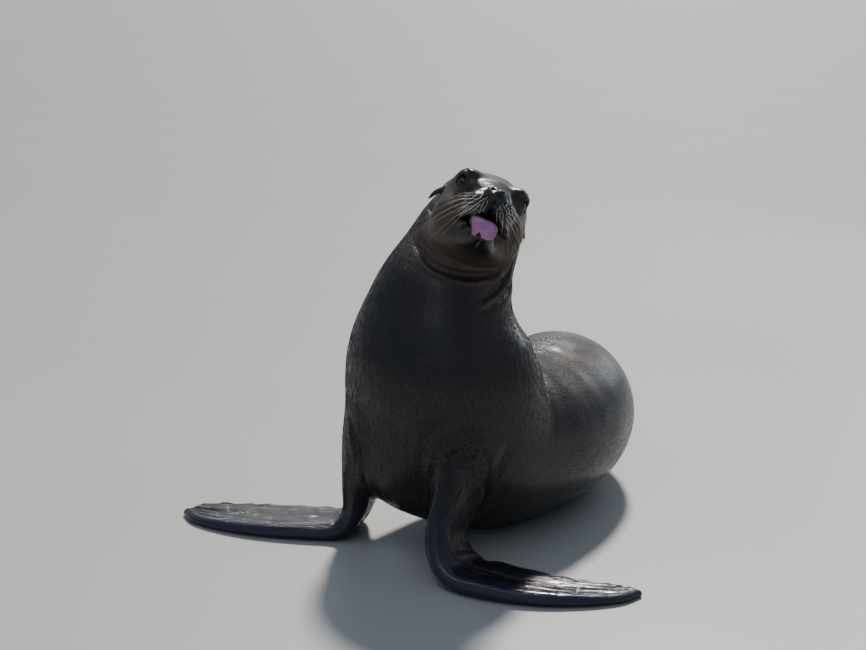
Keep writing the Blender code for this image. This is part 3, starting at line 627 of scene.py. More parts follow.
def crease_depth(points):
    """How deep the creases are at each point. Below 0 is the roll of skin beside a crease."""
    total = np.zeros(len(points))
    for depth, width, line in CREASE_LINES:
        inside = (points > line.min(0) - 4 * width) & (points < line.max(0) + 4 * width)
        near = np.flatnonzero(inside.all(1))
        if len(near) == 0:
            continue
        spots = points[near] + 0.3 * width * noise(points[near], 0.03, 43)[:, None]
        square = ((spots[:, None] - line[None]) ** 2).sum(-1)
        share = square.argmin(1) / (len(line) - 1)
        away = np.sqrt(square.min(1))
        fade = eased(share, 0, 0.30) * eased(1 - share, 0, 0.25)
        roll = CREASE_ROLL * eased(share, 0.10, 0.55)
        total[near] += depth * fade * (ridge(away, width) - roll * ridge(away - ROLL_AWAY * width, width))
    return total


def flesh_field(points, fine):
    """All the flesh, cut flat where it rests on the floor. Fine adds the folds and wrinkles."""
    trunk = joined(SPINE_SWEEP(points), ellipsoid(points, *KEEL), KEEL_FILLET)
    flesh = trunk
    limbs = np.full(len(points), 1.0)
    for side in FORE_SWEEPS:
        limb = fore_flipper(points, side)
        limbs = np.minimum(limbs, np.abs(limb - trunk))
        flesh = joined(flesh, limb, FORE_FILLET)
    for side in HIND_SWEEPS:
        flesh = joined(flesh, hind_flipper(points, side), HIND_FILLET)
    local = in_head(points)
    near = in_box(local, HEAD_MIDDLE, HEAD_REACH)
    head = head_field(local[near])
    if fine:
        close = np.abs(trunk - flesh) < 0.01
        flesh[close] += trunk_relief(points[close], limbs[close])
        creases = crease_depth(points)
        flesh += creases
        flesh[near] += neck_crease(points[near], head)
        head = head + face_relief(local[near]) + creases[near]
    reach = np.interp(local[near, 2], HEAD_FILLET_HEIGHTS, HEAD_FILLETS)
    flesh[near] = joined(flesh[near], head, reach)
    if fine:
        flesh[near] = carved(flesh[near], nostrils(local[near]), 0.002)
    return carved(flesh, points[:, 2] + COAT_DEPTH - FLOOR_GAP, 0.004) + COAT_DEPTH


def coarse_field(points):
    return flesh_field(points, False)


def fine_field(points):
    return flesh_field(points, True)


def slopes(field, points, step):
    """The field's values and gradients, from four samples round each point."""
    corners = np.array([[1, 1, 1], [1, -1, -1], [-1, 1, -1], [-1, -1, 1]])
    samples = [field(points + corner * step) for corner in corners]
    gradient = sum(value[:, None] * corner for value, corner in zip(samples, corners)) / (4 * step)
    return sum(samples) / 4, gradient


def settled(field, points, rounds, most=0.004, step=SLOPE_STEP):
    """Points moved on to the surface where the field is zero, and their outward normals."""
    points = points.copy()
    for _ in range(rounds):
        value, gradient = slopes(field, points, step)
        steepness = np.maximum((gradient**2).sum(1), 0.25)
        shift = -(value / steepness)[:, None] * gradient
        length = np.maximum(np.linalg.norm(shift, axis=1, keepdims=True), 1e-9)
        points += shift * np.minimum(1, most / length)
    return points, unit(gradient + 1e-9)


def sampled(field, low, high, cell, batch=48):
    """A grid of the field's values between two corners, sampled in full only near the surface."""
    low = np.asarray(low, float)
    blocks = np.ceil((np.asarray(high) - low) / (cell * BLOCK)).astype(int)
    corner = np.stack(np.meshgrid(*map(np.arange, blocks), indexing="ij"), -1).reshape(-1, 3) * BLOCK
    middles = field(low + (corner + BLOCK / 2) * cell)
    inner = np.stack(np.meshgrid(*[np.arange(BLOCK)] * 3, indexing="ij"), -1).reshape(-1, 3)
    cells = np.repeat(middles[:, None], BLOCK**3, axis=1)
    near = np.flatnonzero(np.abs(middles) < cell * BLOCK * 1.6)
    for start in range(0, len(near), batch):
        some = near[start : start + batch]
        spots = (inner[None] + corner[some][:, None]).reshape(-1, 3)
        cells[some] = field(low + spots * cell).reshape(len(some), -1)
    grid = cells.reshape(*blocks, BLOCK, BLOCK, BLOCK).transpose(0, 3, 1, 4, 2, 5)
    grid = np.ascontiguousarray(grid.reshape(blocks * BLOCK), np.float32)
    for axis in range(3):
        np.moveaxis(grid, axis, 0)[[0, -1]] = cell
    return grid


def polygonised(field, low, high, cell):
    """The points and quads of the surface where the field is zero."""
    grid = openvdb.FloatGrid(cell)
    grid.copyFromArray(sampled(field, low, high, cell))
    points, quads = grid.convertToQuads()
    return np.asarray(low) + points * cell, quads


def mesh_from(name, points, faces):
    """A smooth-shaded mesh from arrays of points and of faces with the same number of corners."""
    mesh = bpy.data.meshes.new(name)
    mesh.vertices.add(len(points))
    mesh.vertices.foreach_set("co", np.asarray(points, np.float32).ravel())
    mesh.loops.add(faces.size)
    mesh.loops.foreach_set("vertex_index", np.asarray(faces, np.int32).ravel())
    mesh.polygons.add(len(faces))
    mesh.polygons.foreach_set("loop_start", np.arange(0, faces.size, faces.shape[1], dtype=np.int32))
    mesh.update(calc_edges=True)
    mesh.shade_smooth()
    return mesh


def fetched(items, key, width, kind=np.float32):
    """One property of some items, as a row of so many numbers for each."""
    found = np.empty(len(items) * width, kind)
    items.foreach_get(key, found)
    return found.reshape(-1, width)


def places(mesh):
    """A mesh's points as an array."""
    return fetched(mesh.vertices, "co", 3).astype(float)


def write_places(mesh, points):
    mesh.vertices.foreach_set("co", np.asarray(points, np.float32).ravel())
    mesh.update()


def write_attribute(mesh, name, values):
    """A number or a vector at each point of a mesh, for its material."""
    kind, key = ("FLOAT_VECTOR", "vector") if values.ndim == 2 else ("FLOAT", "value")
    attribute = mesh.attributes.new(name, kind, "POINT")
    attribute.data.foreach_set(key, np.asarray(values, np.float32).ravel())


def crease_lines():
    """Each crease with its line smoothed and laid on the flesh."""
    for depth, width, points in CREASES.values():
        yield depth, width, settled(coarse_field, smooth_rows(points, 14), 8, 0.012)[0]


CREASE_LINES = list(crease_lines())

# The eye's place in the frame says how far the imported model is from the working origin.
EYE_LOW, EYE_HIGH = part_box("eye_left")
TO_FRAME = (EYE_LOW + EYE_HIGH) / 2 - HEAD @ Vector(EYE)


def in_scene(name, data):
    """A new object in the scene."""
    obj = bpy.data.objects.new(name, data)
    bpy.context.scene.collection.objects.link(obj)
    return obj


def add(name, mesh, material, slot, *nodes):
    """A piece of the model in its place, standing for these nodes of the frame."""
    mesh.transform(Matrix.Translation(TO_FRAME))
    mesh.materials.clear()
    mesh.materials.append(material)
    obj = in_scene(name, mesh)
    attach(obj, "root")
    if nodes:
        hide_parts(*nodes)
    return obj


def unwrap(mesh):
    """A UV map of the skin's own shape, laid out flat in islands."""
    obj = in_scene("unwrapped", mesh)
    mesh.uv_layers.new(name="OFBake")
    bpy.context.view_layer.objects.active = obj
    obj.select_set(True)
    bpy.ops.object.mode_set(mode="EDIT")
    bpy.ops.mesh.select_all(action="SELECT")
    bpy.ops.uv.smart_project(angle_limit=math.radians(75), island_margin=0.001)
    bpy.ops.object.mode_set(mode="OBJECT")
    bpy.data.objects.remove(obj)


@contextlib.contextmanager
def edited(mesh):
    """A mesh as a bmesh, written back at the end."""
    work = bmesh.new()
    work.from_mesh(mesh)
    yield work
    work.to_mesh(mesh)
    work.free()


def refine(mesh, wanted):
    """Cuts the faces whose middles are wanted in four, and the faces beside them to fit."""
    with edited(mesh) as work:
        chosen = wanted(np.array([face.calc_center_median() for face in work.faces]))
        edges = [edge for edge in work.edges if any(chosen[face.index] for face in edge.link_faces)]
        bmesh.ops.subdivide_edges(work, edges=edges, cuts=1, use_grid_fill=True, use_single_edge=True)


def to_fore_limbs(points):
    """Each fore limb's blade, with the distance from the points to the limb."""
    for blade, edge in FORE_SWEEPS.values():
        yield blade, np.minimum(blade(points), edge(points))


def raise_to(totals, near, values):
    """Lifts the totals near something to these values, where they are lower."""
    totals[near] = np.maximum(totals[near], values)


def on_limbs(points):
    """How bare of fur each point is, from 0 to 1: the flippers beyond the wrists and ankles."""
    bare = np.zeros(len(points))
    for blade, distance in to_fore_limbs(points):
        near = distance < LIMB_REACH
        along = blade.shares(points[near])[0] + 0.03 * noise(points[near], 0.03, 51)
        raise_to(bare, near, eased(along, WRIST - 0.06, WRIST + 0.05))
    for sweep in HIND_SWEEPS.values():
        near = sweep(points) < LIMB_REACH
        raise_to(bare, near, eased(sweep.shares(points[near])[0], *HIND_BARE))
    return bare


def leading_bands(points):
    """1 on the smooth thick leading edges of the fore limbs, and 0 elsewhere. The coat's material makes them
    smoother and paints a bluish sky sheen on them.
    """
    found = np.zeros(len(points))
    for blade, edge in FORE_SWEEPS.values():
        near = edge(points) < 0.006
        along, across, _ = blade.shares(points[near])
        raise_to(found, near, eased(along, 0.22, 0.34) * eased(across, 0.40, 0.60))
    return found


def needs_detail(points):
    """The head, the creases and the flippers."""
    local = in_head(points) + 0.010 * noise(points, 0.02, 53)[:, None]
    head = in_box(local, (0, 0.12, -0.05), 0.17)
    creased = np.abs(crease_depth(points)) > 0.0001
    return head | creased | (on_limbs(points) > 0.1)


def needs_most_detail(points):
    """The muzzle, the lips, round the eyes and the tops of the fore flippers."""
    local = in_head(points)
    face = (local[:, 1] < 0.112) & (np.abs(local[:, 2] + 0.03) < 0.095)
    flippers = np.min([distance for _, distance in to_fore_limbs(points)], axis=0)
    return face | ((flippers < 0.01) & (points[:, 2] > 0.003) & (points[:, 2] < 0.045))


SKIN_BOX = ((-0.56, -0.30, -0.03), (0.50, 1.16, 0.79))  # a box round all the flesh
TONGUE_BOX = ((-0.04, -0.03, -0.12), (0.04, 0.10, -0.05))  # and one round the tongue, in the head's frame


def make_skin():
    """All the flesh as one mesh."""
    points, quads = polygonised(coarse_field, *SKIN_BOX, SKIN_CELL)
    mesh = mesh_from("skin", points, quads)
    unwrap(mesh)
    refine(mesh, needs_detail)
    refine(mesh, needs_most_detail)
    points, _ = settled(coarse_field, places(mesh), 2)
    points, normals = settled(fine_field, points, 4, 0.0025)
    points[:, 2] = np.maximum(points[:, 2], FLOOR_GAP)
    write_places(mesh, points)
    mark(mesh, points)
    mesh.shade_smooth()
    mesh.normals_split_custom_set_from_vertices(normals.tolist())
    return mesh, normals


MARKS = ("bare", "lead", "nose", "mouth", "socket", "matt", "dry", "grain")


def mark(mesh, points):
    """What the coat's material needs to know at each point."""
    local = in_head(points)
    folded = mirrored(local)
    near = in_box(local, (0, 0.10, -0.03), 0.22)
    nose = near * eased(-ellipsoid(local, *NOSE_PAD), -0.0035, -0.0010)
    opened = np.minimum(MOUTH_SWEEP(local), TONGUE_SWEEP(local)) < 0.006
    mouth = near * eased(-closed_mouth(local), 0.0015, 0.0050) * opened
    # the coat is painted darker round the eye opening, under the brow
    socket = near * ridge(np.linalg.norm(folded - np.array(EYE) - GAZE_WAY * 0.012, axis=1), 0.0155)
    bare, lead = on_limbs(points), leading_bands(points)
    found = (bare, lead, nose, mouth, socket, faced(local), dryness(points, local), grain_of(points))
    for name, values in zip(MARKS, found):
        write_attribute(mesh, name, values)


def faced(local):
    """1 on the cheeks and crown, falling to 0 on the muzzle, the nape and below the jaw."""
    _, back, height = local.T
    return eased(back, 0.05, 0.11) * eased(0.26 - back, 0, 0.10) * eased(height, -0.19, -0.10)


def dryness(points, local):
    """Where the coat has begun to dry and shows its brown: cheeks, crown, neck, back and wrists."""
    along, across, up = SPINE_SWEEP.shares(points)
    neck = ridge(along - 0.80, 0.13) * eased(np.abs(across), 0.55, 1.0)
    flank = ridge(along - 0.42, 0.13) * eased(up, 0.3, 0.8) * eased(1.05 - up, 0, 0.15)
    wrists = np.zeros(len(points))
    for blade, distance in to_fore_limbs(points):
        near = distance < LIMB_REACH
        raise_to(wrists, near, ridge(blade.shares(points[near])[0] - WRIST, 0.10))
    dry = 0.9 * wrists + 0.80 * faced(local) + 0.45 * neck + 0.75 * flank
    return np.clip(dry + 0.2 * noise(points, 0.11, 61), 0, 1)


def shares_of(points):
    """How much each point belongs to the head and to each limb, and the sweep that each limb follows."""
    local = in_head(points)
    head = eased(local[:, 2] * 0.6 - local[:, 1], -0.26, -0.17) * eased(local[:, 2], -0.20, -0.13)
    limbs = [(blade, eased(0.02 - distance, 0, 0.02)) for blade, distance in to_fore_limbs(points)]
    for sweep in HIND_SWEEPS.values():
        along = sweep.shares(points)[0]
        limbs.append((sweep, eased(0.02 - sweep(points), 0, 0.02) * eased(along, 0.2, 0.35)))
    return head, limbs


TRUNK_RADIUS = 0.17  # of the even cylinder on which the trunk's streaks are laid out


def grain_of(points):
    """Each point as it would lie with the body or limb straight, so that streaks follow the coat."""
    head, limbs = shares_of(points)
    local = in_head(points)
    ahead = np.column_stack([-local[:, 1], local[:, 0], local[:, 2]])
    trunk = SPINE_SWEEP.grain(points)
    trunk[:, 1:] = unit(trunk[:, 1:] + 1e-9) * TRUNK_RADIUS
    grain = trunk * (1 - head[:, None]) + ahead * head[:, None]
    for sweep, share in limbs:
        grain = grain * (1 - share[:, None]) + sweep.grain(points) * share[:, None]
    return grain


def lie_of(points, normals):
    """Which way the hair lies: back from the nose, down the neck and trunk, and out along the limbs."""
    head, limbs = shares_of(points)
    local = in_head(points)
    away = np.column_stack([0.6 * local[:, 0], np.full(len(local), 0.10), 0.8 * (local[:, 2] + 0.01)])
    back = unit(away) @ HEAD_TURN.T
    lie = -SPINE_SWEEP.located(points)[1][:, 3:6] * (1 - head[:, None]) + back * head[:, None]
    for sweep, share in limbs:
        lie = lie * (1 - share[:, None]) + sweep.located(points)[1][:, 3:6] * share[:, None]
    lie = lie + 0.10 * np.column_stack([noise(points, 0.05, seed) for seed in (71, 72, 73)])
    return unit(lie - (lie * normals).sum(1, keepdims=True) * normals)


FACE_TUFTS, BODY_TUFTS = 130000, 47000  # to the square metre
MOST_TUFTS = 19900  # in one piece
RUMP_END, TRUNK_END, CHEST_END = 0.33, 0.52, 0.69  # where the coat's pieces part, as shares along the spine
TUFT_LENGTH, TUFT_WIDTH, TUFT_HEIGHT = 0.011, 0.0012, 0.0003
# A tuft has three points at its root, three at its middle and one at its tip.
TUFT_FACES = [
    (0, 2, 1), (0, 1, 4), (0, 4, 3), (1, 2, 5), (1, 5, 4), (2, 0, 3), (2, 3, 5), (3, 4, 6), (4, 5, 6),
    (5, 3, 6),
]
PATCH = 0.0015  # half the size of a tuft's patch in the UV map
PATCH_LAYOUT = [(-1, -1), (1, -1), (0, -0.6), (-1, 0.3), (1, 0.3), (0, 0.3), (0, 1)]


def read_attribute(mesh, name):
    key, width = ("vector", 3) if name == "grain" else ("value", 1)
    return fetched(mesh.attributes[name].data, key, width)


def scattered(mesh, density, rng):
    """Random spots on a mesh, so many to the square metre: corner numbers, the corners' weights and UVs."""
    mesh.calc_loop_triangles()
    corners, loops = (fetched(mesh.loop_triangles, key, 3, np.int32) for key in ("vertices", "loops"))
    points = places(mesh)[corners]
    areas = np.linalg.norm(np.cross(points[:, 1] - points[:, 0], points[:, 2] - points[:, 0]), axis=1)
    weights = areas / 2 * density[corners].mean(1)
    count = min(int(weights.sum()), MOST_TUFTS)
    picked = rng.choice(len(weights), count, p=weights / weights.sum())
    a, b = rng.random((2, count))
    flip = a + b > 1
    a, b = np.where(flip, 1 - a, a), np.where(flip, 1 - b, b)
    shares = np.column_stack([1 - a - b, a, b])
    uv = fetched(mesh.uv_layers["OFBake"].uv, "vector", 2)[loops[picked]]
    return corners[picked], shares, (uv * shares[:, :, None]).sum(1)


def at_spots(values, corners, shares):
    """Values of a mesh's points, mixed at scattered spots."""
    return (values[corners] * shares[:, :, None]).sum(1)


def laid_on(tree, points):
    """The nearest places on the skin, and the skin's normals there."""
    found = [tree.find_nearest(point)[:2] for point in points.tolist()]
    return np.array([place for place, _ in found]), np.array([normal for _, normal in found])


def tuft_mesh(name, tree, roots, normals, lie, length, width, height):
    """Thin wedges of wet hair, lying on the skin, each with a ridge along its top and a pointed end."""
    across = np.cross(lie, normals)
    middle, middle_normals = laid_on(tree, roots + lie * (length * 0.5)[:, None])
    tip, tip_normals = laid_on(tree, middle + unit(middle - roots) * (length * 0.5)[:, None])
    side = across * (width / 2)[:, None]
    lift = height[:, None]
    rings = [
        roots - side * 0.5 - normals * 0.0006,
        roots + side * 0.5 - normals * 0.0006,
        roots + normals * lift * 0.2,
        middle - side - middle_normals * 0.0003,
        middle + side - middle_normals * 0.0003,
        middle + middle_normals * lift,
        tip + tip_normals * lift * 0.7,
    ]
    points = np.stack(rings, 1)
    points[:, :, 2] = np.maximum(points[:, :, 2], FLOOR_GAP)
    offsets = np.arange(len(roots))[:, None, None] * len(rings)
    return mesh_from(name, points.reshape(-1, 3), (np.array(TUFT_FACES)[None] + offsets).reshape(-1, 3))


def write_patches(mesh, uv):
    """Gives each tuft a small patch of the UV map at its root's place."""
    corners = fetched(mesh.loops, "vertex_index", 1, np.int32)[:, 0]
    per_tuft = len(PATCH_LAYOUT)
    spots = uv[corners // per_tuft] + np.array(PATCH_LAYOUT)[corners % per_tuft] * PATCH
    layer = mesh.uv_layers.new(name="OFBake")
    layer.uv.foreach_set("vector", np.clip(spots, 0, 1).astype(np.float32).ravel())


def face_share(local):
    """1 on the muzzle, falling to 0 behind the ears, in the head's frame."""
    return eased(0.20 - local[:, 1], 0, 0.12)


def coat_regions(points):
    """How many tufts to the square metre each coat piece has at each point."""
    along = SPINE_SWEEP.shares(points)[0]
    local = in_head(points)
    furry = 1 - eased(on_limbs(points), 0.1, 0.7)
    head_value = head_field(local) * in_box(local, HEAD_MIDDLE, HEAD_REACH)
    in_front = in_box(local, HEAD_MIDDLE, 0.22) & (head_value < 0.004)
    soft = eased(ellipsoid(local, *NOSE_PAD), 0.002, 0.006)
    eye_way = np.linalg.norm(mirrored(local) - np.array(EYE) - GAZE_WAY * EYE_RADIUS, axis=1)
    soft = soft * eased(eye_way, EYE_OPENING + 0.002, EYE_OPENING + 0.006)
    soft = soft * eased(closed_mouth(local), -0.004, -0.001)
    body = BODY_TUFTS * furry * (points[:, 2] > 0.004)
    limbs = np.min([distance for _, distance in to_fore_limbs(points)], axis=0)
    on_limb = (limbs < 0.004) & ~in_front
    on_trunk = ~in_front & ~on_limb
    return {
        "coat_head": in_front * soft * (BODY_TUFTS + (FACE_TUFTS - BODY_TUFTS) * face_share(local)),
        "coat_neck": on_trunk * (along > CHEST_END) * body,
        "coat_chest": on_trunk * (along <= CHEST_END) * (along > TRUNK_END) * body,
        "coat_limbs": on_limb * body,
        "coat_trunk": on_trunk * (along <= TRUNK_END) * (along > RUMP_END) * body,
        "coat_rump": on_trunk * (along <= RUMP_END) * body,
    }


def make_coat(skin, normals, material):
    """Tufts over all the furred skin, in pieces."""
    points = places(skin) - np.array(TO_FRAME)
    tree = BVHTree.FromPolygons(points.tolist(), [tuple(face.vertices) for face in skin.polygons])
    marks = {name: read_attribute(skin, name) for name in MARKS}
    rng = np.random.default_rng(7)
    for name, density in coat_regions(points).items():
        corners, shares, uv = scattered(skin, density, rng)
        count = len(corners)
        roots = at_spots(points, corners, shares)
        up = unit(at_spots(normals, corners, shares))
        local = in_head(roots)
        face = face_share(local) * in_box(local, (0, 0, 0), 0.24)
        size = rng.uniform(0.7, 1.3, count) * (1 - 0.62 * face)
        lie = lie_of(roots, up)
        lie = unit(lie + 0.12 * rng.normal(size=(count, 1)) * np.cross(lie, up))
        width = TUFT_WIDTH * rng.uniform(0.7, 1.2, count) * (1 - 0.45 * face)
        height = TUFT_HEIGHT * rng.uniform(0.7, 1.3, count) * (1 - 0.4 * face)
        mesh = tuft_mesh(name, tree, roots, up, lie, TUFT_LENGTH * size, width, height)
        write_patches(mesh, uv)
        for mark_name, values in marks.items():
            spread = np.repeat(at_spots(values, corners, shares), len(PATCH_LAYOUT), axis=0)
            write_attribute(mesh, mark_name, spread if mark_name == "grain" else spread[:, 0])
        add(name, mesh, material, "coat")


def make_eye(side, material):
    """A glossy eyeball with a bulging cornea. Its material reads each point's angle from the gaze."""
    gaze = Vector(GAZE).normalized()
    gaze.x *= side
    mesh = bpy.data.meshes.new("eye")
    with edited(mesh) as work:
        bmesh.ops.create_uvsphere(work, u_segments=64, v_segments=40, radius=1)
        work.transform(gaze.to_track_quat("Z", "Y").to_matrix().to_4x4())
    ways = places(mesh)
    off = np.degrees(np.arccos(np.clip(ways @ np.array(gaze), -1, 1)))
    radius = EYE_RADIUS - 0.0006 + 0.0011 * eased(off, 44, 22)
    centre = np.array([side * EYE[0], EYE[1], EYE[2]])
    write_places(mesh, out_of_head(centre + ways * radius[:, None]))
    write_attribute(mesh, "off_gaze", off)
    mesh.shade_smooth()
    add(f"eyeball_{SIDES[side]}", mesh, material, "eye", f"eye_{SIDES[side]}")


def tongue_field(points):
    """The tongue, in the head's frame, with the notched tip of the species, a groove and small papillae."""
    flesh = carved(TONGUE_SWEEP(points), ellipsoid(points, *TONGUE_NOTCH), 0.006)
    groove = 0.0011 * ridge(points[:, 0] + 0.0015, 0.0022)
    return flesh + groove + 0.00025 * noise(points, 0.0026, 81) + 0.0006 * noise(points, 0.012, 82)


def make_tongue(material):
    """The tongue as a piece of its own, with a mark for the rims, where its material paints shade in a darker
    red.
    """
    points, quads = polygonised(tongue_field, *TONGUE_BOX, TONGUE_CELL)
    mesh = mesh_from("tongue", points, quads)
    points, _ = settled(tongue_field, points, 2, 0.001, 0.0003)
    across = np.abs(TONGUE_SWEEP.shares(points)[1])
    write_places(mesh, out_of_head(points))
    # the rims, where the material paints shade in a darker red
    write_attribute(mesh, "edge", eased(across, 0.55, 1.0))
    write_attribute(mesh, "grain", points)
    add("tongue_fine", mesh, material, "tongue", "tongue")


EAR_TURNS, EAR_STEPS = 40, 26
EAR_SLIT, SLIT_WIDTH = 0.6 * math.pi, 0.28  # in radians round the cone
EAR_DRYNESS = 0.15


def sealed(mesh):
    """The mesh with its open ends filled and its faces turned outwards."""
    with edited(mesh) as work:
        bmesh.ops.holes_fill(work, edges=[edge for edge in work.edges if edge.is_boundary])
        bmesh.ops.recalc_face_normals(work, faces=work.faces)
    mesh.shade_smooth()
    return mesh


def make_ear(side, material):
    """A short ear rolled to a cone, hanging back and down, with the slit where its edges meet."""
    root, tip = np.array(EAR_ROOT), np.array(EAR_TIP)
    root[0], tip[0] = root[0] * side, tip[0] * side
    along = unit(tip - root)
    across = unit(np.cross(along, [side, 0, 0.3]))
    out = np.cross(along, across)
    angle = np.linspace(0, 2 * math.pi, EAR_TURNS, endpoint=False)
    rows = []
    for share in np.linspace(-0.25, 1.0, EAR_STEPS):
        taper = math.sqrt(max(1 - max(share, 0) ** 2.2, 0.001))
        size = EAR_RADIUS * (0.86 + 0.14 * math.sin(3 * share)) * taper
        slit = 1 - 0.45 * ridge(angle - EAR_SLIT, SLIT_WIDTH) * eased(share, 0.0, 0.3)
        centre = root + (tip - root) * share + out * side * 0.0025 * math.sin(math.pi * max(share, 0))
        ring = np.cos(angle)[:, None] * across * size + np.sin(angle)[:, None] * out * size * 0.62
        rows.append(centre + ring * slit[:, None])
    points = np.vstack(rows)
    index = np.arange(EAR_STEPS * EAR_TURNS).reshape(EAR_STEPS, EAR_TURNS)
    a, b = index[:-1], index[1:]
    faces = np.stack([a, np.roll(a, -1, 1), np.roll(b, -1, 1), b], -1).reshape(-1, 4)
    mesh = sealed(mesh_from("ear", out_of_head(points), faces))
    spots = places(mesh)
    marks = dict.fromkeys(MARKS, np.zeros(len(spots)))
    marks.update(dry=np.full(len(spots), EAR_DRYNESS), grain=spots)
    for name, values in marks.items():
        write_attribute(mesh, name, values)
    add(f"ear_flap_{SIDES[side]}", mesh, material, "coat", f"ear_{SIDES[side]}")


WHISKER_ROWS = [(24, 5), (10, 7), (-4, 8), (-18, 9), (-32, 8), (-46, 6)]  # height in degrees, and how many
WHISKER_STEPS = 14
# How far the longest whiskers reach on each side, and the way that they sweep, in the head's frame.
WHISKER_REACH = {1: 0.058, -1: 0.110}
WHISKER_SWEEP = {1: (0.60, 0.30, -0.72), -1: (-0.52, 0.34, -0.90)}


def whisker_roots():
    """The left side's whiskers, in the head's frame: each one's root, how far back it is, and its way."""
    centre, radii, _ = map(np.array, FACE["whisker_pad"])
    for height, count in WHISKER_ROWS:
        for number in range(count):
            share = (number + 0.5) / count
            turn, rise = math.radians(112 * share - 38), math.radians(height + 4 * math.sin(5 * share))
            level = math.cos(rise)
            way = np.array([math.sin(turn) * level, -math.cos(turn) * level, math.sin(rise)])
            yield centre + radii * way, share * (1 - 0.55 * eased(height, -4, 24)), unit(way / radii)


def whisker_line(root, way, side, share, length, rng):
    """A whisker's points: out from the pad, then bending over to its side and down."""
    aim = unit(np.array(WHISKER_SWEEP[side]) + 0.16 * rng.normal(size=3))
    short_aim = unit(np.array([0.25 * side, -0.35, -1.0]) + 0.20 * rng.normal(size=3))
    aim = unit(aim * eased(share, 0.15, 0.45) + short_aim * (1 - eased(share, 0.15, 0.45)))
    line, heading = [root - way * 0.003], way
    bend = rng.uniform(3.6, 5.2) / WHISKER_STEPS
    for _ in range(WHISKER_STEPS):
        heading = unit(heading + aim * bend)
        line.append(line[-1] + heading * length / WHISKER_STEPS)
    return np.array(line)


def whisker_lines(side):
    """The lines of one side's whiskers, in the head's frame, with their thickness at the root."""
    rng = np.random.default_rng(11 + side)
    flip = np.array([side, 1, 1])
    for root, share, way in whisker_roots():
        length = (0.014 + WHISKER_REACH[side] * share**1.7) * rng.uniform(0.75, 1.15)
        yield whisker_line(root * flip, way * flip, side, share, length, rng), 0.00042 - 0.00008 * share
    steps = np.linspace(0, 1, 12)[:, None]
    for number in range(2):
        root = np.array([0.036 + 0.010 * number, 0.085 + 0.012 * number, 0.046])
        way = unit(np.array([0.55 + 0.2 * number, -0.10 - 0.2 * number, 0.80]))
        line = root + way * steps * 0.034 + np.array([0.006, 0.008, -0.004]) * steps**2
        yield line * flip, 0.00030


def tube_mesh(name, lines, radii, sides=6):
    """Tapered round tubes along lines, in one mesh."""
    points, faces, first = [], [], 0
    for line, radius in zip(lines, radii):
        heading = unit(np.gradient(line, axis=0))
        across = unit(np.cross(heading, [0.13, 0.29, 0.95]))
        up = np.cross(heading, across)
        shares = np.linspace(0, 1, len(line))
        size = radius * (1 - 0.82 * shares**1.3)
        for i in range(sides):
            angle = 2 * math.pi * i / sides
            points.append(line + (math.cos(angle) * across + math.sin(angle) * up) * size[:, None])
        index = first + np.arange(sides * len(line)).reshape(sides, len(line))
        beside = np.roll(index, -1, 0)
        quads = np.stack([index[:, :-1], beside[:, :-1], beside[:, 1:], index[:, 1:]], -1)
        faces.append(quads.reshape(-1, 4))
        first += index.size
    return sealed(mesh_from(name, np.vstack(points), np.vstack(faces)))


def clear_of_flesh(line):
    """A whisker's points, in the working frame, moved out where they would run into the face."""
    for _ in range(3):
        value, gradient = slopes(coarse_field, line, SLOPE_STEP)
        depth = np.maximum(0.0022 - value, 0)
        depth[:2] = 0
        line = line + unit(gradient + 1e-9) * depth[:, None]
    return line


def make_whiskers(material):
    """Whiskers in rows on both lips, short in front and long behind, and two fine ones over each eye."""
    for side, name in SIDES.items():
        lines, radii = zip(*whisker_lines(side))
        lines = [clear_of_flesh(out_of_head(line)) for line in lines]
        mesh = tube_mesh("whiskers", lines, radii)
        write_attribute(mesh, "aside", eased(np.abs(in_head(places(mesh))[:, 0]), 0.034, 0.062))
        add(f"whiskers_{name}", mesh, material, "claw")


def plug(tree, socket, value):
    """Links a socket to another one, or sets it to a number or a colour."""
    if isinstance(value, bpy.types.NodeSocket):
        tree.links.new(value, socket)
    elif isinstance(value, tuple) and len(value) == 3 and socket.type == "RGBA":
        socket.default_value = (*value, 1)
    else:
        socket.default_value = value


def wire(tree, **values):
    """Plugs values into the sockets of these names on a material's shader."""
    sockets = tree.nodes["Principled BSDF"].inputs
    for key, value in values.items():
        plug(tree, sockets[key.replace("_", " ").title().replace("Ior", "IOR")], value)


def new_material(name, **constants):
    """A material with these numbers and colours on its shader, and the material's nodes."""
    material = bpy.data.materials.new(name)
    material.use_nodes = True
    wire(material.node_tree, **constants)
    return material, material.node_tree


def made(tree, kind, output, inputs, **settings):
    """An output of a new node, with the node's inputs plugged in and its settings set."""
    node = tree.nodes.new(f"ShaderNode{kind}")
    for key, value in settings.items():
        setattr(node, key, value)
    for key, value in inputs.items():
        plug(tree, node.inputs[key], value)
    return node.outputs[output]


def attribute(tree, name, output="Fac"):
    return made(tree, "Attribute", output, {}, attribute_name=name)


def position_of(tree):
    return made(tree, "TexCoord", "Object", {})


def scaled(tree, vector, scale):
    return made(tree, "VectorMath", 0, {0: vector, 1: scale}, operation="MULTIPLY")


def noise_of(tree, vector, scale, detail=3.0, roughness=0.55):
    """A noise texture's number, with scale as bumps to the metre along each axis."""
    inputs = {"Vector": scaled(tree, vector, scale), "Scale": 1.0, "Detail": detail, "Roughness": roughness}
    return made(tree, "TexNoise", "Fac", inputs)


def cells_of(tree, vector, scale):
    """The distance to the edges of a Voronoi texture's cells, for the plates of wrinkled skin."""
    inputs = {"Vector": scaled(tree, vector, scale), "Scale": 1.0}
    return made(tree, "TexVoronoi", "Distance", inputs, feature="DISTANCE_TO_EDGE")


def ramp(tree, value, low, high, start=0.0, end=1.0):
    """A number eased from start to end as value goes from low to high."""
    inputs = {"Value": value, "From Min": low, "From Max": high, "To Min": start, "To Max": end}
    return made(tree, "MapRange", "Result", inputs, interpolation_type="SMOOTHSTEP")


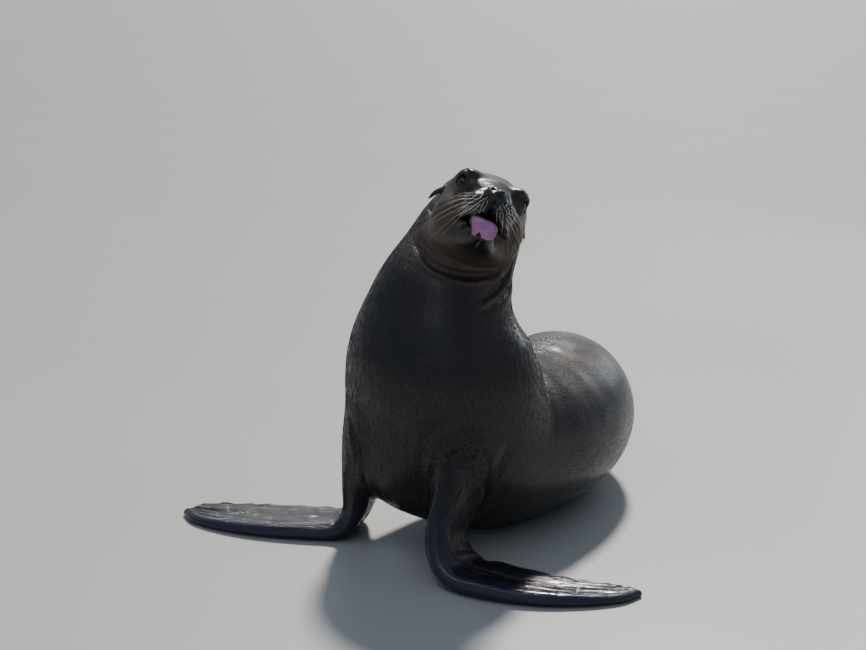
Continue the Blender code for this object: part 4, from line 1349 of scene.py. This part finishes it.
def maths(tree, operation, a, b):
    return made(tree, "Math", 0, {0: a, 1: b}, operation=operation)


def mixed(tree, share, a, b):
    """Two colours mixed, the second by share."""
    return made(tree, "Mix", 2, {0: share, 6: a, 7: b}, data_type="RGBA")


def between(tree, share, a, b):
    """Two numbers mixed, the second by share."""
    return made(tree, "Mix", 0, {0: share, 2: a, 3: b})


def bumped(tree, height, distance, strength=1.0, below=None):
    """A surface's normal tilted by a height, over the normal from another bump where there is one."""
    inputs = {"Strength": strength, "Distance": distance, "Height": height}
    if below:
        inputs["Normal"] = below
    return made(tree, "Bump", "Normal", inputs)


WET_BLACK, WET_BROWN, DRY_BROWN = (0.0060, 0.0050, 0.0052), (0.0115, 0.0085, 0.0078), (0.082, 0.050, 0.037)
FLIPPER_BLACK, FLIPPER_WORN = (0.0080, 0.0078, 0.0135), (0.026, 0.019, 0.019)
# The blue of the leading edges is a painted sheen: the sky reflected on wet skin, laid into the colour.
WRIST_BROWN, LEADING_EDGE_SKY_SHEEN = (0.030, 0.020, 0.018), (0.015, 0.013, 0.031)
# The last of these is the near-black painted round the eye openings, under the brows.
NOSE_BLACK, MOUTH_RED, EYE_SURROUND_DARK = (0.009, 0.009, 0.010), (0.090, 0.018, 0.022), (0.006, 0.005, 0.005)
HORN_DARK, HORN_PALE = (0.018, 0.014, 0.012), (0.090, 0.070, 0.055)
FLOOR_DARK, FLOOR_PALE = (0.375, 0.370, 0.355), (0.420, 0.412, 0.398)


def coat_material():
    """Wet fur, which turns to bare skin, black on the flippers and nose and red in the mouth. It is painted
    darker round the eyes, and the flippers' leading edges carry a painted bluish sky sheen.
    """
    material, tree = new_material(
        "wet_coat", specular_ior_level=0.42, coat_weight=0.15, coat_roughness=0.26, coat_ior=1.33
    )
    grain = attribute(tree, "grain", "Vector")
    bare, lead, nose, mouth = (attribute(tree, name) for name in ("bare", "lead", "nose", "mouth"))
    streaks = noise_of(tree, grain, (38, 340, 340), 4)
    patches = noise_of(tree, grain, (9, 14, 14), 3)
    dry = maths(tree, "MULTIPLY", attribute(tree, "dry"), ramp(tree, streaks, 0.25, 0.75, 0.45, 1.0))
    colour = mixed(tree, ramp(tree, patches, 0.2, 0.9), WET_BLACK, WET_BROWN)
    colour = mixed(tree, dry, colour, DRY_BROWN)
    worn = ramp(tree, noise_of(tree, grain, (30, 60, 60), 5), 0.5, 0.72)
    colour = mixed(tree, bare, colour, mixed(tree, worn, FLIPPER_BLACK, FLIPPER_WORN))
    colour = mixed(tree, maths(tree, "MULTIPLY", attribute(tree, "dry"), bare), colour, WRIST_BROWN)
    # painted sheen: the bluish sky reflection on the wet leading edges
    colour = mixed(tree, lead, colour, LEADING_EDGE_SKY_SHEEN)
    # darker round the eye opening, under the brow
    colour = mixed(tree, maths(tree, "MULTIPLY", attribute(tree, "socket"), 0.7), colour, EYE_SURROUND_DARK)
    colour = mixed(tree, nose, colour, NOSE_BLACK)
    colour = mixed(tree, mouth, colour, MOUTH_RED)
    rough = between(tree, ramp(tree, streaks, 0.3, 0.7), 0.22, 0.36)
    rough = between(tree, attribute(tree, "matt"), rough, 0.52)
    rough = between(tree, attribute(tree, "dry"), rough, 0.46)
    rough = between(tree, bare, rough, between(tree, worn, 0.14, 0.28))
    rough = between(tree, lead, rough, 0.11)
    rough = between(tree, maths(tree, "MAXIMUM", nose, mouth), rough, 0.22)
    smooth = maths(tree, "MAXIMUM", bare, nose)
    furry = maths(tree, "MULTIPLY", streaks, maths(tree, "SUBTRACT", 1.0, smooth))
    plates = maths(tree, "MULTIPLY", ramp(tree, cells_of(tree, grain, (260, 420, 420)), 0.0, 0.12), smooth)
    ropes = maths(tree, "MULTIPLY", noise_of(tree, grain, (10, 75, 75), 1.5), bare)
    ropes = maths(tree, "MULTIPLY", ropes, maths(tree, "SUBTRACT", 1.0, lead))
    normal = bumped(tree, ropes, 0.0042, 1.0, bumped(tree, furry, 0.0008, 0.6))
    normal = bumped(tree, plates, 0.0003, 0.5, normal)
    wire(tree, base_color=colour, roughness=rough, normal=normal)
    return material


def eye_material():
    """A dark brown iris with a soft pupil behind a clear wet surface."""
    material, tree = new_material(
        "eye", roughness=0.08, specular_ior_level=0.25, coat_weight=0.3, coat_roughness=0.02
    )
    off = attribute(tree, "off_gaze")
    colour = mixed(tree, ramp(tree, off, 13.0, 17.0), (0.0015, 0.0015, 0.0018), (0.022, 0.010, 0.005))
    wire(tree, base_color=mixed(tree, ramp(tree, off, 34.0, 42.0), colour, (0.006, 0.005, 0.005)))
    return material


def tongue_material():
    """Mauve pink, with painted shade in a darker red at the rims, wet."""
    material, tree = new_material(
        "tongue",
        subsurface_weight=0.15,
        subsurface_radius=(0.006, 0.002, 0.0015),
        coat_weight=0.35,
        coat_roughness=0.18,
    )
    grain = attribute(tree, "grain", "Vector")
    spots = noise_of(tree, grain, (420, 420, 420), 3)
    clouds = noise_of(tree, grain, (60, 60, 60), 2)
    colour = mixed(tree, ramp(tree, clouds, 0.3, 0.7), (0.35, 0.135, 0.31), (0.44, 0.19, 0.40))
    colour = mixed(tree, ramp(tree, spots, 0.55, 0.75, 0.0, 0.35), colour, (0.40, 0.14, 0.22))
    # painted shade: the rims turn a darker red
    colour = mixed(tree, maths(tree, "MULTIPLY", attribute(tree, "edge"), 0.7), colour, (0.36, 0.09, 0.11))
    rough = ramp(tree, spots, 0.3, 0.7, 0.32, 0.5)
    wire(tree, base_color=colour, roughness=rough, normal=bumped(tree, spots, 0.0004, 0.6))
    return material


def whisker_material():
    """Horn, white in front of the mouth and straw brown out to the sides."""
    material, tree = new_material("whisker", subsurface_weight=0.1)
    clouds = noise_of(tree, position_of(tree), (90, 90, 90), 3)
    straw = mixed(tree, clouds, (0.24, 0.17, 0.085), (0.42, 0.33, 0.19))
    colour = mixed(tree, attribute(tree, "aside"), (0.82, 0.79, 0.70), straw)
    wire(tree, base_color=colour, roughness=ramp(tree, clouds, 0.3, 0.7, 0.30, 0.48))
    return material


def claw_material():
    """Dark horn with lines along it."""
    material, tree = new_material("claw", coat_weight=0.3, coat_roughness=0.2)
    lines = noise_of(tree, position_of(tree), (260, 260, 90), 4)
    colour, rough = mixed(tree, lines, HORN_DARK, HORN_PALE), ramp(tree, lines, 0.3, 0.7, 0.28, 0.45)
    wire(tree, base_color=colour, roughness=rough, normal=bumped(tree, lines, 0.0003, 0.5))
    return material


def floor_material():
    """Pale, even concrete with faint clouds."""
    material, tree = new_material("floor", roughness=0.38)
    clouds = noise_of(tree, position_of(tree), (1.3, 1.3, 1.3), 4)
    wire(tree, base_color=mixed(tree, clouds, FLOOR_DARK, FLOOR_PALE))
    return material


SUN_FROM = (0.16, 1.0, 1.10)  # the way to the sun: high behind the animal, on its left
SUN_POWER, SUN_ANGLE, SUN_COLOUR = 5.0, 7, (1.0, 0.96, 0.90)
SKY_COLOUR, SKY_STRENGTH = (0.68, 0.81, 1.0, 1), 0.38
# The lamps: place, target, width and height, power and colour.
LAMPS = {
    "rim": ((2.2, 2.4, 1.1), (0.2, 0.1, 0.35), (1.0, 1.0), 12, (0.80, 0.93, 1.0)),
    "edge": ((-0.9, -0.7, 2.7), (0.1, -0.2, 0.0), (3.2, 0.2), 9, (0.80, 0.88, 1.0)),
    "fill": ((-0.6, -3.4, 2.9), (0.0, 0.0, 0.45), (2.6, 2.6), 3, (1, 1, 1)),
}
FLOOR_REACH = 40
# The camera stands in front of the animal, a little above it, and looks down at it.
CAMERA_PLACE, CAMERA_DOWN = (0, -3.0, 1.27), 14.9
CAMERA_LENS, CAMERA_FILM = 66.5, 36


def add_lamp(name, place, target, size, power, colour):
    """A soft lamp of some width and height at a place, turned to its target."""
    light = bpy.data.lights.new(name, "AREA")
    light.shape = "RECTANGLE"
    light.size, light.size_y = size
    light.energy = power
    light.color = colour
    way = Vector(target) - Vector(place)
    turn = way.to_track_quat("-Z", "Y").to_matrix().to_4x4()
    in_scene(name, light).matrix_world = Matrix.Translation(place) @ turn


def make_stage():
    """The floor, the soft lights and the pale surroundings."""
    mesh = bpy.data.meshes.new("floor")
    with edited(mesh) as work:
        bmesh.ops.create_grid(work, x_segments=2, y_segments=2, size=FLOOR_REACH)
    mesh.materials.append(floor_material())
    in_scene("floor", mesh)
    world = bpy.data.worlds.new("surroundings")
    world.use_nodes = True
    background = world.node_tree.nodes["Background"]
    background.inputs["Color"].default_value = SKY_COLOUR
    background.inputs["Strength"].default_value = SKY_STRENGTH
    bpy.context.scene.world = world
    sun = bpy.data.lights.new("sun", "SUN")
    sun.energy = SUN_POWER
    sun.angle = math.radians(SUN_ANGLE)
    sun.color = SUN_COLOUR
    in_scene("sun", sun).matrix_world = Vector(SUN_FROM).to_track_quat("Z", "Y").to_matrix().to_4x4()
    for name, settings in LAMPS.items():
        add_lamp(name, *settings)


def make_camera():
    """The camera at the photograph's viewing angle."""
    camera = bpy.data.cameras.new("camera")
    camera.lens = CAMERA_LENS
    camera.sensor_width = CAMERA_FILM
    obj = in_scene("camera", camera)
    place = Matrix.Translation(Vector(CAMERA_PLACE) + TO_FRAME)
    obj.matrix_world = place @ Matrix.Rotation(math.radians(90 - CAMERA_DOWN), 4, "X")
    bpy.context.scene.camera = obj


FLESH_NODES = [
    "head", "lower_jaw", "neck", "chest", "abdomen", "hindquarters", "tail",
    "fore_flipper_left", "fore_flipper_right", "hind_flipper_left", "hind_flipper_right",
]


def main():
    make_camera()
    make_stage()
    coat = coat_material()
    skin, normals = make_skin()
    add("skin", skin, coat, "coat", *FLESH_NODES)
    make_coat(skin, normals, coat)
    make_whiskers(whisker_material())
    eye = eye_material()
    for side in SIDES:
        make_eye(side, eye)
        make_ear(side, coat)
    make_tongue(tongue_material())
    claw = claw_material()
    for name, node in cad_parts.items():
        if name.startswith("claw"):
            node.data.materials.clear()
            node.data.materials.append(claw)
            node.data.shade_smooth()


main()
